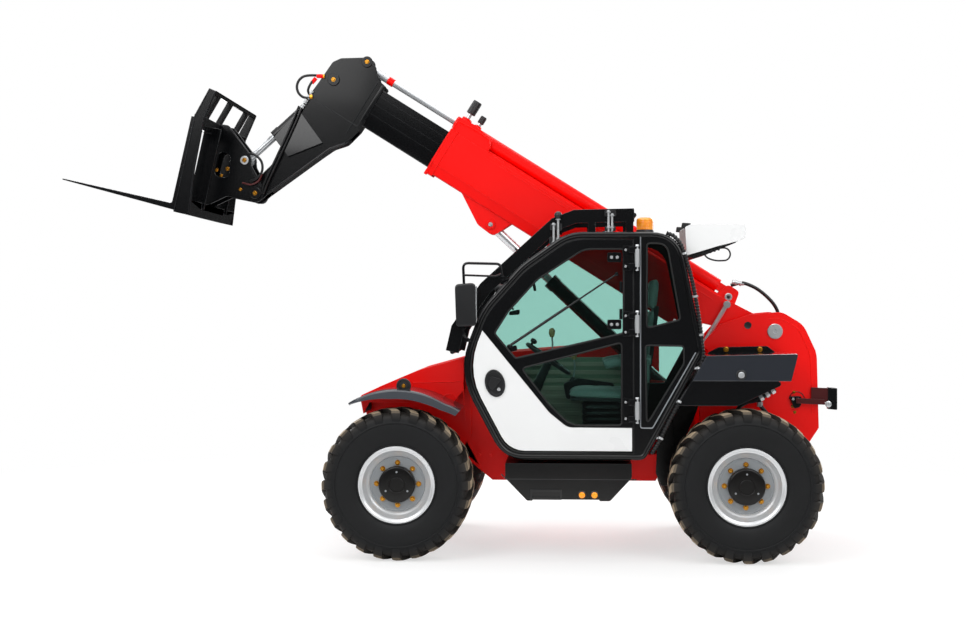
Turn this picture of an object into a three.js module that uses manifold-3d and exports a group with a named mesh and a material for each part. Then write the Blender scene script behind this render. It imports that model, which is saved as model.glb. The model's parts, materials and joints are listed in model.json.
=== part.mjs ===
// Compact telehandler: a two-axle lift truck with a telescopic boom beside its cab.
// Millimetres. +X forward, +Y to the left (the cab's side), +Z up. Inside this file X is 0 at the
// rear axle and Z is 0 on the ground; the finished group is moved so that its origin is at the
// bottom centre of the whole machine. The boom is raised and partly run out, the forks tip back.
import * as THREE from "three";
import { mergeVertices } from "three/addons/utils/BufferGeometryUtils.js";
import Module from "manifold-3d";

const wasm = await Module();
wasm.setup();

// ---------------------------------------------------------------- driving dimensions
const FIT = 0.3; // gap between two pieces that touch
const RUNNING_FIT = 0.3; // radial gap between a pin or rod and its bore
const degrees = (angle) => (angle * Math.PI) / 180;

const WHEELBASE = 2300;
const TYRE_RADIUS = 505;
const TYRE_WIDTH = 310;
const WHEEL_SIDES = 24;
const WHEEL_CENTRE_Y = 750; // middle plane of each tyre, from the centre line
const RIM_LIP_RADIUS = 255;
const BEAD_RADIUS = 229;
const HUB_RADIUS = 125;
const SPINDLE_RADIUS = 45;
const KINGPIN_Y = 560;
const KINGPIN_RADIUS = 24;

const RAIL_OUTER_Y = 290; // outer face of the chassis rails, inside the steered tyres
const RAIL_PLATE = 20;
const CHASSIS_BOTTOM = 475;
const AXLE_ARCH = 645; // underside of the chassis above the axles

const BOOM_Y = -60; // middle plane of the boom
const BOOM_PIVOT = [-273, 1513];
const BOOM_ANGLE = degrees(32.2);
const BOOM_HALF_WIDTH = 110;
const BOOM_TOP = 8;
const BOOM_BOTTOM = -334;
const BOOM_REAR = 440;
const BOOM_FRONT = 2700;
const BOOM_PIN_RADIUS = 38;
const SPINE_GAP = 7; // between the boom's side and the chassis plates beside it
const SPINE_PLATE = 15;

const INNER_HALF_WIDTH = BOOM_HALF_WIDTH - 15;
const INNER_TOP = -14;
const INNER_BOTTOM = -306;
const INNER_REAR = 1000;
const INNER_WALL = 8;

const TILT_PIN = [3658, -1130]; // carriage pivot, along and across the boom
const TILT_BASE = [3615, -135]; // tilt cylinder's pin on the boom head
const FORK_TILT = degrees(12.6);
const TILT_EYE = [129, 216]; // tilt cylinder's pin, in the carriage's own frame
const HEAD_PLATE_Y = [55, 75]; // head plates, from the boom's middle plane
const EAR_PLATE_Y = [81, 101]; // carriage ears, outside the head plates
const CARRIAGE_HALF_WIDTH = 650;
const FORK_OFFSET = 520;
const FORK_WIDTH = 100;
const FORK_THICKNESS = 45;
const FORK_LENGTH = 1241;
const FORK_FACE = 405; // front face of the carriage, ahead of its pivot

const LIFT_BASE = [350, 986];
const LIFT_EYE = [2096, -418];
const LIFT_PIN_RADIUS = 26;
const LIFT_BARREL_RADIUS = 52;
const LIFT_ROD_RADIUS = 32;
const LIFT_PLATE_Y = LIFT_ROD_RADIUS + 5; // bracket plates, from the boom's middle plane
const LIFT_BARREL_LENGTH = 1300;
const LIFT_ROD_LENGTH = 1180;

const LEVELLER_BASE = [520, 905];
const LEVELLER_EYE = [373, -14];
const LEVELLER_Y = BOOM_Y + BOOM_HALF_WIDTH + SPINE_GAP + SPINE_PLATE + 33;
const LEVELLER_EYE_WIDTH = 36;
const LEVELLER_RADIUS = 26;
const LEVELLER_ROD_RADIUS = 16;

const TILT_BARREL_RADIUS = 41;
const TILT_EYE_WIDTH = 100;
const TILT_ROD_RADIUS = 26;

const EXTENSION_AXIS = 75; // extension cylinder's height above the boom's own axis
const EXTENSION_REAR = 385;
const EXTENSION_EYE = 3476;
const EXTENSION_RADIUS = 50;
const EXTENSION_ROD_RADIUS = 22.5;
const EXTENSION_ROD_LENGTH = 2200;

const CAB_OUTER_Y = 840;
const CAB_INNER_Y = 150;
const CAB_PLATE = 36; // thickness of the cab's side frames
const CAB_SHELL = 25; // thickness of its roof, floor and rear wall
const DOOR_REAR_X = 740;
const DOOR_GAP = 8;
const DOOR_INSET = 50; // door edge inside the cab's outline
const HINGE_X = 714;
const HINGE_Y = CAB_OUTER_Y + 30;
const GLASS = 5;

// ---------------------------------------------------------------- finishes
const paint = (color, roughness, metalness = 0) =>
  new THREE.MeshStandardMaterial({ color, roughness, metalness });
const RED = paint(0xf01810, 0.3);
const BLACK = paint(0x17181a, 0.45);
const WHITE = paint(0xf2f2f0, 0.35);
const CHROME = paint(0xd8dadc, 0.12, 1);
const SILVER = paint(0xc4c7ca, 0.4, 0.4);
const RUBBER = paint(0x202122, 0.85);
const CAST = paint(0x2b2d30, 0.6, 0.3);
const AMBER = paint(0xff8a00, 0.2);
const TINT = new THREE.MeshStandardMaterial({
  color: 0x3a6058,
  roughness: 0.05,
  transparent: true,
  opacity: 0.4,
});

// ---------------------------------------------------------------- solids
function toSolid(geometry) {
  const bare = geometry.index ? geometry.toNonIndexed() : geometry.clone();
  bare.deleteAttribute("normal");
  bare.deleteAttribute("uv");
  const merged = mergeVertices(bare, 1e-3);
  const triVerts = new Uint32Array(merged.index.array);
  const vertProperties = merged.attributes.position.array;
  return new wasm.Manifold(new wasm.Mesh({ numProp: 3, vertProperties, triVerts }));
}

function toGeometry(solid) {
  const { numProp, numVert, vertProperties, triVerts } = solid.getMesh();
  const position = new Float32Array(numVert * 3);
  for (let i = 0; i < numVert; i++)
    position.set(vertProperties.subarray(i * numProp, i * numProp + 3), i * 3);
  const geometry = new THREE.BufferGeometry();
  geometry.setAttribute("position", new THREE.BufferAttribute(position, 3));
  geometry.setIndex(new THREE.BufferAttribute(triVerts, 1));
  geometry.computeVertexNormals();
  return geometry;
}

const join = (...solids) => solids.reduce((all, one) => all.add(one));
const cut = (solid, ...tools) => tools.reduce((left, tool) => left.subtract(tool), solid);

// A shape of a closed outline, without points that repeat the one before them.
function shapeOf(points) {
  const apart = points.filter(([x, y], i) => {
    const [beforeX, beforeY] = points[(i + points.length - 1) % points.length];
    return Math.hypot(x - beforeX, y - beforeY) > 0.05;
  });
  return new THREE.Shape(apart.map(([x, y]) => new THREE.Vector2(x, y)));
}

// A side outline in X and Z, extruded across the machine from y0 to y1.
function slab(outline, y0, y1) {
  const depth = y1 - y0;
  const geometry = new THREE.ExtrudeGeometry(shapeOf(outline), { depth, bevelEnabled: false });
  return toSolid(geometry.rotateX(Math.PI / 2).translate(0, y1, 0));
}

// A cross-section in Y and Z, extruded along X from x0 to x1.
function beam(section, x0, x1) {
  const depth = x1 - x0;
  const geometry = new THREE.ExtrudeGeometry(shapeOf(section), { depth, bevelEnabled: false });
  return toSolid(geometry.rotateY(Math.PI / 2).rotateX(Math.PI / 2).translate(x0, 0, 0));
}

function block([x0, x1], [y0, y1], [z0, z1]) {
  const geometry = new THREE.BoxGeometry(x1 - x0, y1 - y0, z1 - z0);
  return toSolid(geometry.translate((x0 + x1) / 2, (y0 + y1) / 2, (z0 + z1) / 2));
}

// A round bar between two points.
function bar(start, end, radius, sides = 12) {
  const from = new THREE.Vector3(...start);
  const along = new THREE.Vector3(...end).sub(from);
  const geometry = new THREE.CylinderGeometry(radius, radius, along.length(), sides);
  const turn = new THREE.Quaternion().setFromUnitVectors(
    new THREE.Vector3(0, 1, 0),
    along.clone().normalize(),
  );
  const middle = from.addScaledVector(along, 0.5);
  return toSolid(geometry.applyQuaternion(turn).translate(middle.x, middle.y, middle.z));
}

// A round hole tool whose flats, not its corners, keep the running gap round a pin.
function bore(start, end, pinRadius, sides = 16) {
  return bar(start, end, (pinRadius + RUNNING_FIT) / Math.cos(Math.PI / sides), sides);
}

// A closed profile of radius and Y, turned about the Y axis, with a flat facet at its lowest line.
function turned(profile, sides) {
  const points = profile.map(([r, y]) => new THREE.Vector2(r, y));
  points.push(points[0].clone());
  const geometry = new THREE.LatheGeometry(points, sides);
  return toSolid(geometry.rotateY(Math.PI / sides));
}

// ---------------------------------------------------------------- outlines
const TAU = 2 * Math.PI;

// Rounds each corner [x, y, radius] of a closed outline with an arc of a few points.
function rounded(corners, steps = 3) {
  const outline = [];
  corners.forEach(([x, y, radius = 0], i) => {
    const before = corners[(i + corners.length - 1) % corners.length];
    const after = corners[(i + 1) % corners.length];
    if (!radius) {
      outline.push([x, y]);
      return;
    }
    const toBefore = new THREE.Vector2(before[0] - x, before[1] - y);
    const toAfter = new THREE.Vector2(after[0] - x, after[1] - y);
    const half = Math.abs(toBefore.angleTo(toAfter)) / 2;
    const longest = 0.5 * Math.min(toBefore.length(), toAfter.length());
    const reach = Math.min(radius / Math.tan(half), longest);
    const actual = reach * Math.tan(half);
    const bisector = toBefore.normalize().clone().add(toAfter.normalize()).normalize();
    const centre = bisector.multiplyScalar(actual / Math.sin(half)).add({ x, y });
    const first = Math.atan2(y + toBefore.y * reach - centre.y, x + toBefore.x * reach - centre.x);
    const last = Math.atan2(y + toAfter.y * reach - centre.y, x + toAfter.x * reach - centre.x);
    const sweep = ((((last - first + Math.PI) % TAU) + TAU) % TAU) - Math.PI;
    for (let step = 0; step <= steps; step++) {
      const angle = first + (sweep * step) / steps;
      outline.push([centre.x + actual * Math.cos(angle), centre.y + actual * Math.sin(angle)]);
    }
  });
  return outline;
}

// Moves each edge of a closed outline inwards by a distance.
function inset(outline, distance) {
  const area = outline.reduce((sum, [x, y], i) => {
    const [nextX, nextY] = outline[(i + 1) % outline.length];
    return sum + x * nextY - nextX * y;
  }, 0);
  const inward = Math.sign(area) * distance;
  return outline.map(([x, y], i) => {
    const [beforeX, beforeY] = outline[(i + outline.length - 1) % outline.length];
    const [afterX, afterY] = outline[(i + 1) % outline.length];
    const a = new THREE.Vector2(x - beforeX, y - beforeY).normalize();
    const b = new THREE.Vector2(afterX - x, afterY - y).normalize();
    const normal = new THREE.Vector2(-a.y - b.y, a.x + b.x).normalize();
    const stretch = inward / Math.max(0.3, normal.dot(new THREE.Vector2(-a.y, a.x)));
    return [x + normal.x * stretch, y + normal.y * stretch];
  });
}

// The outline of a band of one width along an open line of points.
function ribbon(line, width) {
  const side = (sign) =>
    line.map(([x, y], i) => {
      const [beforeX, beforeY] = line[Math.max(i - 1, 0)];
      const [afterX, afterY] = line[Math.min(i + 1, line.length - 1)];
      const a = new THREE.Vector2(x - beforeX, y - beforeY).normalize();
      const b = new THREE.Vector2(afterX - x, afterY - y).normalize();
      const normal = new THREE.Vector2(-a.y - b.y, a.x + b.x).normalize();
      const edge = i ? a : b;
      const stretch = (sign * width) / 2 / Math.max(0.3, normal.dot(new THREE.Vector2(-edge.y, edge.x)));
      return [x + normal.x * stretch, y + normal.y * stretch];
    });
  return [...side(1), ...side(-1).reverse()];
}

function disc([x, y], radius, sides = 14) {
  return Array.from({ length: sides }, (_, i) => {
    const angle = (TAU * i) / sides;
    return [x + radius * Math.cos(angle), y + radius * Math.sin(angle)];
  });
}

// ---------------------------------------------------------------- frames
const machine = new THREE.Group();

function frameAt([x, z], angle, y = 0) {
  const group = new THREE.Group();
  group.position.set(x, y, z);
  group.rotation.y = -angle;
  machine.add(group);
  return group;
}

function add(name, solid, material, group = machine) {
  const mesh = new THREE.Mesh(toGeometry(solid), material.clone());
  mesh.name = name;
  group.add(mesh);
}

// A point given along and across the boom, as X and Z of the machine.
function onBoom([along, across]) {
  const [x, z] = BOOM_PIVOT;
  return [
    x + along * Math.cos(BOOM_ANGLE) - across * Math.sin(BOOM_ANGLE),
    z + along * Math.sin(BOOM_ANGLE) + across * Math.cos(BOOM_ANGLE),
  ];
}

const CARRIAGE_PIVOT = onBoom(TILT_PIN);

// A point given in the carriage's frame, as X and Z of the machine.
function onCarriage([ahead, up]) {
  const [x, z] = CARRIAGE_PIVOT;
  return [
    x + ahead * Math.cos(FORK_TILT) - up * Math.sin(FORK_TILT),
    z + ahead * Math.sin(FORK_TILT) + up * Math.cos(FORK_TILT),
  ];
}

const boomFrame = frameAt(BOOM_PIVOT, BOOM_ANGLE);
const carriageFrame = frameAt(CARRIAGE_PIVOT, FORK_TILT);

// Both bands of Y that lie at one distance either side of a middle plane.
const eachSide = (middle, [near, far], make) =>
  join(make(middle + near, middle + far), make(middle - far, middle - near));

// ---------------------------------------------------------------- chassis
const SPINE_Y = [BOOM_HALF_WIDTH + SPINE_GAP, BOOM_HALF_WIDTH + SPINE_GAP + SPINE_PLATE];
const NOSE_OUTER_Y = 430;
const NOSE_SKIN = 12;
const NOSE_UNDERSIDE = TYRE_RADIUS * 2 + 12;
const LIFT_STUB_RADIUS = 30;

function chassisFrame() {
  const noseX = (ahead) => WHEELBASE + ahead; // a place measured from the front axle
  const noseTop = [
    [noseX(-415), 1333],
    [noseX(-96), 1245],
    [noseX(160), 1136],
    [noseX(294), 1073],
    [noseX(306), 1059],
    [noseX(283), 943],
  ];
  const railOutline = [
    [-480, AXLE_ARCH],
    [-480, 720],
    [480, 720],
    [560, 660],
    [noseX(-690), 660],
    [noseX(-610), 800],
    [noseX(-535), 935],
    [noseX(-462), 1100],
    [noseX(-428), 1265],
    ...noseTop,
    [noseX(260), 850],
    [noseX(245), AXLE_ARCH],
    [noseX(-370), AXLE_ARCH],
    [noseX(-425), 750],
    [noseX(-518), 578],
    [noseX(-606), CHASSIS_BOTTOM],
    [560, CHASSIS_BOTTOM],
    [540, 560],
    [470, AXLE_ARCH],
  ];
  const spineOutline = [
    [270, CHASSIS_BOTTOM + 170],
    [270, 1020],
    [420, 1150],
    [noseX(-440), 1290],
    ...noseTop,
    [noseX(245), AXLE_ARCH],
    [noseX(-400), AXLE_ARCH],
    [noseX(-606), CHASSIS_BOTTOM],
    [560, CHASSIS_BOTTOM],
    [470, AXLE_ARCH],
  ];
  const floorLine = [
    [-480, AXLE_ARCH + 10],
    [478, AXLE_ARCH + 10],
    [566, CHASSIS_BOTTOM + 10],
    [noseX(-610), CHASSIS_BOTTOM + 10],
    [noseX(-404), AXLE_ARCH + 10],
    [noseX(246), AXLE_ARCH + 10],
  ];
  const noseOutline = [
    ...noseTop,
    [noseX(240), NOSE_UNDERSIDE],
    [noseX(-340), NOSE_UNDERSIDE],
    [noseX(-415), 1110],
  ];
  const noseHollow = [
    [noseX(-415) + NOSE_SKIN, 1333 - 16],
    [noseX(-96), 1245 - NOSE_SKIN],
    [noseX(158), 1136 - NOSE_SKIN],
    [noseX(288), 1062],
    [noseX(292), 1050],
    [noseX(274), 960],
    [noseX(240), 1000],
    [noseX(-360), 1000],
    [noseX(-415) + NOSE_SKIN, 1090],
  ];
  const cowl = (y0, y1, hollow0, hollow1) =>
    cut(slab(noseOutline, y0, y1), slab(noseHollow, hollow0, hollow1));
  const spineLeft = BOOM_Y + SPINE_Y[0];
  const spineRight = BOOM_Y - SPINE_Y[0];
  const spineStub = BOOM_Y + LIFT_BARREL_RADIUS + 5;
  const [baseX, baseZ] = LIFT_BASE;
  const crossMember = (x) =>
    block([x, x + 16], [-RAIL_OUTER_Y, RAIL_OUTER_Y], [AXLE_ARCH, AXLE_ARCH + 60]);
  return join(
    eachSide(0, [RAIL_OUTER_Y - RAIL_PLATE, RAIL_OUTER_Y], (y0, y1) => slab(railOutline, y0, y1)),
    eachSide(BOOM_Y, SPINE_Y, (y0, y1) => slab(spineOutline, y0, y1)),
    slab(ribbon(floorLine, 20), -RAIL_OUTER_Y, RAIL_OUTER_Y),
    cowl(spineLeft, NOSE_OUTER_Y, spineLeft + SPINE_PLATE, NOSE_OUTER_Y - NOSE_SKIN),
    cowl(-NOSE_OUTER_Y, spineRight, NOSE_SKIN - NOSE_OUTER_Y, spineRight - SPINE_PLATE),
    bar([baseX, spineStub, baseZ], [baseX, spineLeft + 5, baseZ], LIFT_STUB_RADIUS),
    bar([baseX, spineRight - 5, baseZ], [baseX, 2 * BOOM_Y - spineStub, baseZ], LIFT_STUB_RADIUS),
    levellerBracket(spineLeft + SPINE_PLATE),
    ...[700, 1250].map((x) => block([x, x + 100], [200, RAIL_OUTER_Y], [655, 675 - FIT])),
    crossMember(-470),
    crossMember(noseX(215)),
    crossMember(noseX(-365)),
  );
}

// The lug on the spine's left plate that carries the levelling cylinder's lower pin.
function levellerBracket(plateY) {
  const [x, z] = LEVELLER_BASE;
  return bar([x, plateY - 5, z], [x, LEVELLER_Y - LEVELLER_EYE_WIDTH / 2 - FIT, z], 20);
}

// ---------------------------------------------------------------- rear tower
// The two tower plates, from the boom's middle plane.
const TOWER_Y = [BOOM_HALF_WIDTH + 120, BOOM_HALF_WIDTH + 145];
const TOWER_OUTLINE = rounded([
  [250, 725, 0],
  [250, 1290, 60],
  [150, 1345, 0],
  [239, 1417, 40],
  [110, 1560, 90],
  [-100, 1630, 120],
  [-320, 1650, 110],
  [-470, 1560, 150],
  [-562, 1360, 200],
  [-576, 841, 0],
  [-500, 725, 0],
]);

function rearTower() {
  const plates = eachSide(BOOM_Y, TOWER_Y, (y0, y1) => slab(TOWER_OUTLINE, y0, y1));
  const inner0 = BOOM_Y - TOWER_Y[0] - 5;
  const inner1 = BOOM_Y + TOWER_Y[0] + 5;
  const ballast = slab(
    [
      [-576, 841],
      [-500, 725],
      [-330, 725],
      [-330, 1180],
      [-440, 1300],
      [-557, 1370],
      [-569, 1100],
    ],
    inner0,
    inner1,
  );
  const [pivotX, pivotZ] = BOOM_PIVOT;
  const pin = bar([pivotX, inner0, pivotZ], [pivotX, inner1, pivotZ], BOOM_PIN_RADIUS, 16);
  const boss = eachSide(BOOM_Y, [TOWER_Y[1] - 5, TOWER_Y[1] + 8], (y0, y1) =>
    slab(disc(BOOM_PIVOT, 42), y0, y1),
  );
  const deck = block([-500, 250], [inner0, inner1], [725, 740]);
  return join(plates, ballast, pin, boss, deck);
}

// ---------------------------------------------------------------- axles, knuckles and wheels
const EAR_TOP = 125;
const EAR_INNER = 95;
const KNUCKLE_RADIUS = 55;

function axle(x) {
  const z = TYRE_RADIUS;
  const yokeInner = KINGPIN_Y - KNUCKLE_RADIUS - 15;
  const ear = (side, low, high) => {
    const outline = [
      ...disc([0, KINGPIN_Y], KNUCKLE_RADIUS, 16).filter(([, y]) => y >= KINGPIN_Y - 1),
      [-80, yokeInner - 60],
      [80, yokeInner - 60],
    ];
    const shape = shapeOf(outline.map(([a, y]) => [x + a, side * y]));
    const geometry = new THREE.ExtrudeGeometry(shape, { depth: high - low, bevelEnabled: false });
    return toSolid(geometry.translate(0, 0, z + low));
  };
  const kingpinHole = (side) =>
    bore(
      [x, side * KINGPIN_Y, z - EAR_TOP - 5],
      [x, side * KINGPIN_Y, z + EAR_TOP + 5],
      KINGPIN_RADIUS,
    );
  const yoke = (side) => {
    const web = [side * (yokeInner - 25), side * yokeInner].sort((a, b) => a - b);
    return cut(
      join(
        ear(side, EAR_INNER, EAR_TOP),
        ear(side, -EAR_TOP, -EAR_INNER),
        block([x - 80, x + 80], web, [z - EAR_TOP, z + EAR_TOP]),
        bar([x, side * 90, z], [x, side * (yokeInner - 10), z], 74, 16),
      ),
      kingpinHole(side),
    );
  };
  const bowl = bar([x, -110, z], [x, 130, z], 128, 16);
  const saddle = block([x - 110, x + 110], [-150, 150], [z + 60, AXLE_ARCH - FIT]);
  const rearwards = x > 0 ? -1 : 1;
  const steerX = x + rearwards * 165;
  const steering = join(
    bar([steerX, -210, z - 20], [steerX, 210, z - 20], 38),
    block([Math.min(x, steerX), Math.max(x, steerX)], [-60, 60], [z - 45, z + 5]),
  );
  return join(bowl, saddle, steering, yoke(1), yoke(-1));
}

function knuckle(x, side) {
  const z = TYRE_RADIUS;
  const y = (offset) => side * (KINGPIN_Y + offset);
  const spindleEnd = WHEEL_CENTRE_Y - KINGPIN_Y + 60;
  return join(
    bar([x, y(0), z - EAR_INNER + 4], [x, y(0), z + EAR_INNER - 4], KNUCKLE_RADIUS),
    bar([x, y(0), z - EAR_TOP - 8], [x, y(0), z + EAR_TOP + 8], KINGPIN_RADIUS),
    bar([x, y(0), z], [x, y(150), z], 84, 16),
    bar([x, y(140), z], [x, y(spindleEnd), z], SPINDLE_RADIUS),
  );
}

const SPINDLE_HOLE = (SPINDLE_RADIUS + RUNNING_FIT) / Math.cos(Math.PI / WHEEL_SIDES);
const DISC_Y = 40; // wheel disc, outwards from the rim's middle plane
const RIM_HALF = 128;

function rim(x, side) {
  const profile = [
    [SPINDLE_HOLE, DISC_Y - 25],
    [HUB_RADIUS, DISC_Y - 25],
    [196, DISC_Y - 8],
    [206, -RIM_HALF],
    [RIM_LIP_RADIUS, -RIM_HALF],
    [RIM_LIP_RADIUS, -RIM_HALF + 12],
    [BEAD_RADIUS, -RIM_HALF + 14],
    [BEAD_RADIUS, RIM_HALF - 14],
    [RIM_LIP_RADIUS, RIM_HALF - 12],
    [RIM_LIP_RADIUS, RIM_HALF],
    [216, RIM_HALF - 8],
    [180, DISC_Y + 8],
    [HUB_RADIUS, DISC_Y + 8],
    [HUB_RADIUS, DISC_Y + 74],
    [0, DISC_Y + 74],
    [0, DISC_Y + 30],
    [SPINDLE_HOLE, DISC_Y + 30],
  ];
  return placeWheel(turned(profile, WHEEL_SIDES), x, side);
}

function tyre(x, side) {
  const corner = Math.cos(Math.PI / WHEEL_SIDES);
  const half = TYRE_WIDTH / 2;
  const outer = [
    [BEAD_RADIUS + 1, RIM_HALF - 14 - 1],
    [RIM_LIP_RADIUS + 6, RIM_HALF - 13],
    [330, half - 6],
    [452, half],
    [486, half - 12],
    [TYRE_RADIUS / corner, half - 50],
  ];
  const mirrored = outer.map(([r, y]) => [r, -y]).reverse();
  return placeWheel(turned([...mirrored, ...outer].reverse(), WHEEL_SIDES), x, side);
}

const placeWheel = (solid, x, side) =>
  solid.scale([1, side, 1]).translate([x, side * WHEEL_CENTRE_Y, TYRE_RADIUS]);

const CORNERS = [
  ["front_left", WHEELBASE, 1],
  ["front_right", WHEELBASE, -1],
  ["rear_left", 0, 1],
  ["rear_right", 0, -1],
];

// ---------------------------------------------------------------- body panels
const FENDER_Y = [NOSE_OUTER_Y + FIT, 892];
const FENDER_RADIUS = 600;

function fender(side) {
  const arc = (radius) =>
    Array.from({ length: 15 }, (_, i) => {
      const angle = degrees(51 + (79 * i) / 14);
      return [WHEELBASE + radius * Math.cos(angle), TYRE_RADIUS + radius * Math.sin(angle)];
    });
  const sheet = [...arc(FENDER_RADIUS), ...arc(FENDER_RADIUS + 14).reverse()];
  const lip = [...arc(FENDER_RADIUS - 20), ...arc(FENDER_RADIUS + 14).reverse()];
  const [inner, outer] = FENDER_Y;
  const span = (y0, y1) => (side > 0 ? [y0, y1] : [-y1, -y0]);
  return join(slab(sheet, ...span(inner, outer)), slab(lip, ...span(outer - 14, outer)));
}

function stepPanel() {
  const outline = rounded([
    [1581, 652, 0],
    [1581, 555, 20],
    [1436, 406, 20],
    [891, 406, 20],
    [748, 560, 20],
    [748, 652, 0],
  ]);
  const hollow = inset(outline, 10);
  const inner = RAIL_OUTER_Y + FIT;
  const tread = block([960, 1400], [700, 900], [395, 415]);
  return cut(slab(outline, inner, 860), slab(hollow, inner - 5, 848), tread);
}

const TANK_BOTTOM = NOSE_UNDERSIDE + 12;
const TANK_SPLIT = 1196;
const TANK_FRONT = [
  [452, TANK_BOTTOM],
  [262, 1363],
];

function tankBody(y0, y1) {
  const seam = TANK_FRONT[0][0] - 95;
  return slab(
    rounded([
      [...TANK_FRONT[0], 0],
      [seam, TANK_SPLIT - FIT, 0],
      [-286, TANK_SPLIT - FIT, 20],
      [-140, 1130, 60],
      [60, TANK_BOTTOM, 60],
    ]),
    y0,
    y1,
  );
}

// The left tank's body goes on down beside the chassis rail, ahead of the rear wheel.
function leftTank() {
  const y0 = RAIL_OUTER_Y + FIT;
  const apron = [
    [452, TANK_BOTTOM + 5],
    [250, TANK_BOTTOM + 5],
    [300, 900],
    [420, 640],
    [455, 450],
    [520, 440],
    [560, 530],
    [545, 850],
  ];
  const low = TOWER_Y[1] + BOOM_Y + 20;
  return join(tankBody(low, 852), slab(apron, y0, y0 + 8));
}

function rightTank() {
  const inner = BOOM_Y - TOWER_Y[1] - FIT;
  return join(tankBody(-852, inner), tankCover(-862, inner).translate([0, 0, -2 * FIT]));
}

function tankCover(y0, y1) {
  return slab(
    rounded([
      [TANK_FRONT[1][0], TANK_FRONT[1][1], 12],
      [-334, 1377, 12],
      [-288, TANK_SPLIT, 12],
      [TANK_FRONT[0][0] - 96, TANK_SPLIT, 0],
    ]),
    y0,
    y1,
  );
}

const ENGINE_BAY = { x: [640, 1680], y: [-880, -RAIL_OUTER_Y - FIT], z: [520, 1180] };

function engineCover() {
  const outline = rounded([
    [ENGINE_BAY.x[0], ENGINE_BAY.z[0], 30],
    [1650, ENGINE_BAY.z[0], 40],
    [ENGINE_BAY.x[1], 700, 0],
    [ENGINE_BAY.x[1], ENGINE_BAY.z[1], 0],
    [500, ENGINE_BAY.z[1], 0],
    [500, 1070, 30],
    [625, 800, 0],
  ]);
  const [y0, y1] = ENGINE_BAY.y;
  const mouth = block([515, 1665], [y0 + 12, y1 - 12], [1100, 1200]);
  return cut(slab(outline, y0, y1), slab(inset(outline, 12), y0 + 12, y1 - 12), mouth);
}

function engineHood() {
  const outline = rounded([
    [500, ENGINE_BAY.z[1] + FIT, 0],
    [ENGINE_BAY.x[1], ENGINE_BAY.z[1] + FIT, 0],
    [ENGINE_BAY.x[1], 1320, 50],
    [1600, 1352, 60],
    [500, 1440, 50],
  ]);
  const [y0, y1] = ENGINE_BAY.y;
  const mouth = block([512, 1668], [y0 + 12, y1 - 12], [1100, 1260]);
  return cut(slab(outline, y0, y1), slab(inset(outline, 12), y0 + 12, y1 - 12), mouth);
}

function rearBracket() {
  const y0 = BOOM_Y + TOWER_Y[1] + FIT;
  return join(
    slab(rounded([[-395, 1000, 15], [-395, 1066, 15], [-452, 1066, 15], [-452, 1000, 15]]), y0, y0 + 30),
    block([-610, -430], [y0 + 4, y0 + 34], [1008, 1048]),
    block([-743, -590], [y0 - 20, y0 + 60], [953, 1109]),
  );
}

// ---------------------------------------------------------------- cab
const CAB_CORNERS = [
  [1899, 1253, 550],
  [1590, 675, 230],
  [664, 675, 60],
  [278, 1388, 90],
  [436, 2175, 230],
  [1170, 2177, 320],
  [1478, 1962, 500],
  [1742, 1668, 500],
];

// The cab's side outline, moved inwards by a distance.
function cabOutline(distance) {
  const moved = inset(CAB_CORNERS, distance);
  return rounded(moved.map(([x, z], i) => [x, z, Math.max(15, CAB_CORNERS[i][2] - distance)]), 5);
}
const CAB_LEFT = [CAB_OUTER_Y - CAB_PLATE, CAB_OUTER_Y];
const CAB_RIGHT = [CAB_INNER_Y, CAB_INNER_Y + CAB_PLATE];
const FAR = 3000;

const QUARTER_PANES = [
  rounded([[646, 2098, 20], [520, 2098, 90], [432, 1600, 20], [648, 1545, 20]]),
  rounded([[656, 1428, 20], [410, 1424, 20], [410, 1310, 40], [648, 915, 10]]),
];
const DOOR_PANES = [
  rounded([[1650, 1508, 20], [1512, 1345, 20], [805, 1511, 20], [803, 2061, 20], [1060, 2062, 160],
    [1370, 1860, 200], [1560, 1650, 100]]),
  rounded([[1470, 1276, 20], [816, 1446, 20], [816, 906, 20], [1150, 903, 160], [1290, 1040, 80]]),
];
const DOOR_SKIN = rounded([
  [1738, 1534, 0],
  [1290, 985, 150],
  [1170, 888, 90],
  [700, 886, 0],
  [700, 600, 0],
  [1900, 600, 0],
  [1900, 1534, 0],
]);

function cabLeftSide() {
  const opening = cabOutline(DOOR_INSET - DOOR_GAP);
  const doorway = slab(opening, CAB_LEFT[0] - 5, CAB_LEFT[1] + 5).intersect(
    block([DOOR_REAR_X - DOOR_GAP, FAR], [0, FAR], [0, FAR]),
  );
  const panes = QUARTER_PANES.map((pane) => slab(pane, CAB_LEFT[0] - 5, CAB_LEFT[1] + 5));
  const hinge = (z) =>
    join(
      bar([HINGE_X, HINGE_Y, z - HINGE_LEAF], [HINGE_X, HINGE_Y, z + HINGE_LEAF], 11, 12),
      block([HINGE_X - 8, HINGE_X + 8], [CAB_OUTER_Y - 5, HINGE_Y], [z - HINGE_LEAF, z + HINGE_LEAF]),
    );
  return join(cut(slab(cabOutline(0), ...CAB_LEFT), doorway, ...panes), ...HINGE_HEIGHTS.map(hinge));
}
const HINGE_HEIGHTS = [1002, 1570, 2003];
const HINGE_LEAF = 34; // half the height of the middle knuckle of each hinge

function quarterGlass() {
  const [y0] = CAB_LEFT;
  const area = slab(cabOutline(45), y0 - GLASS - FIT, y0 - FIT);
  return area.intersect(block([0, 690], [0, FAR], [880, FAR]));
}

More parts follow.
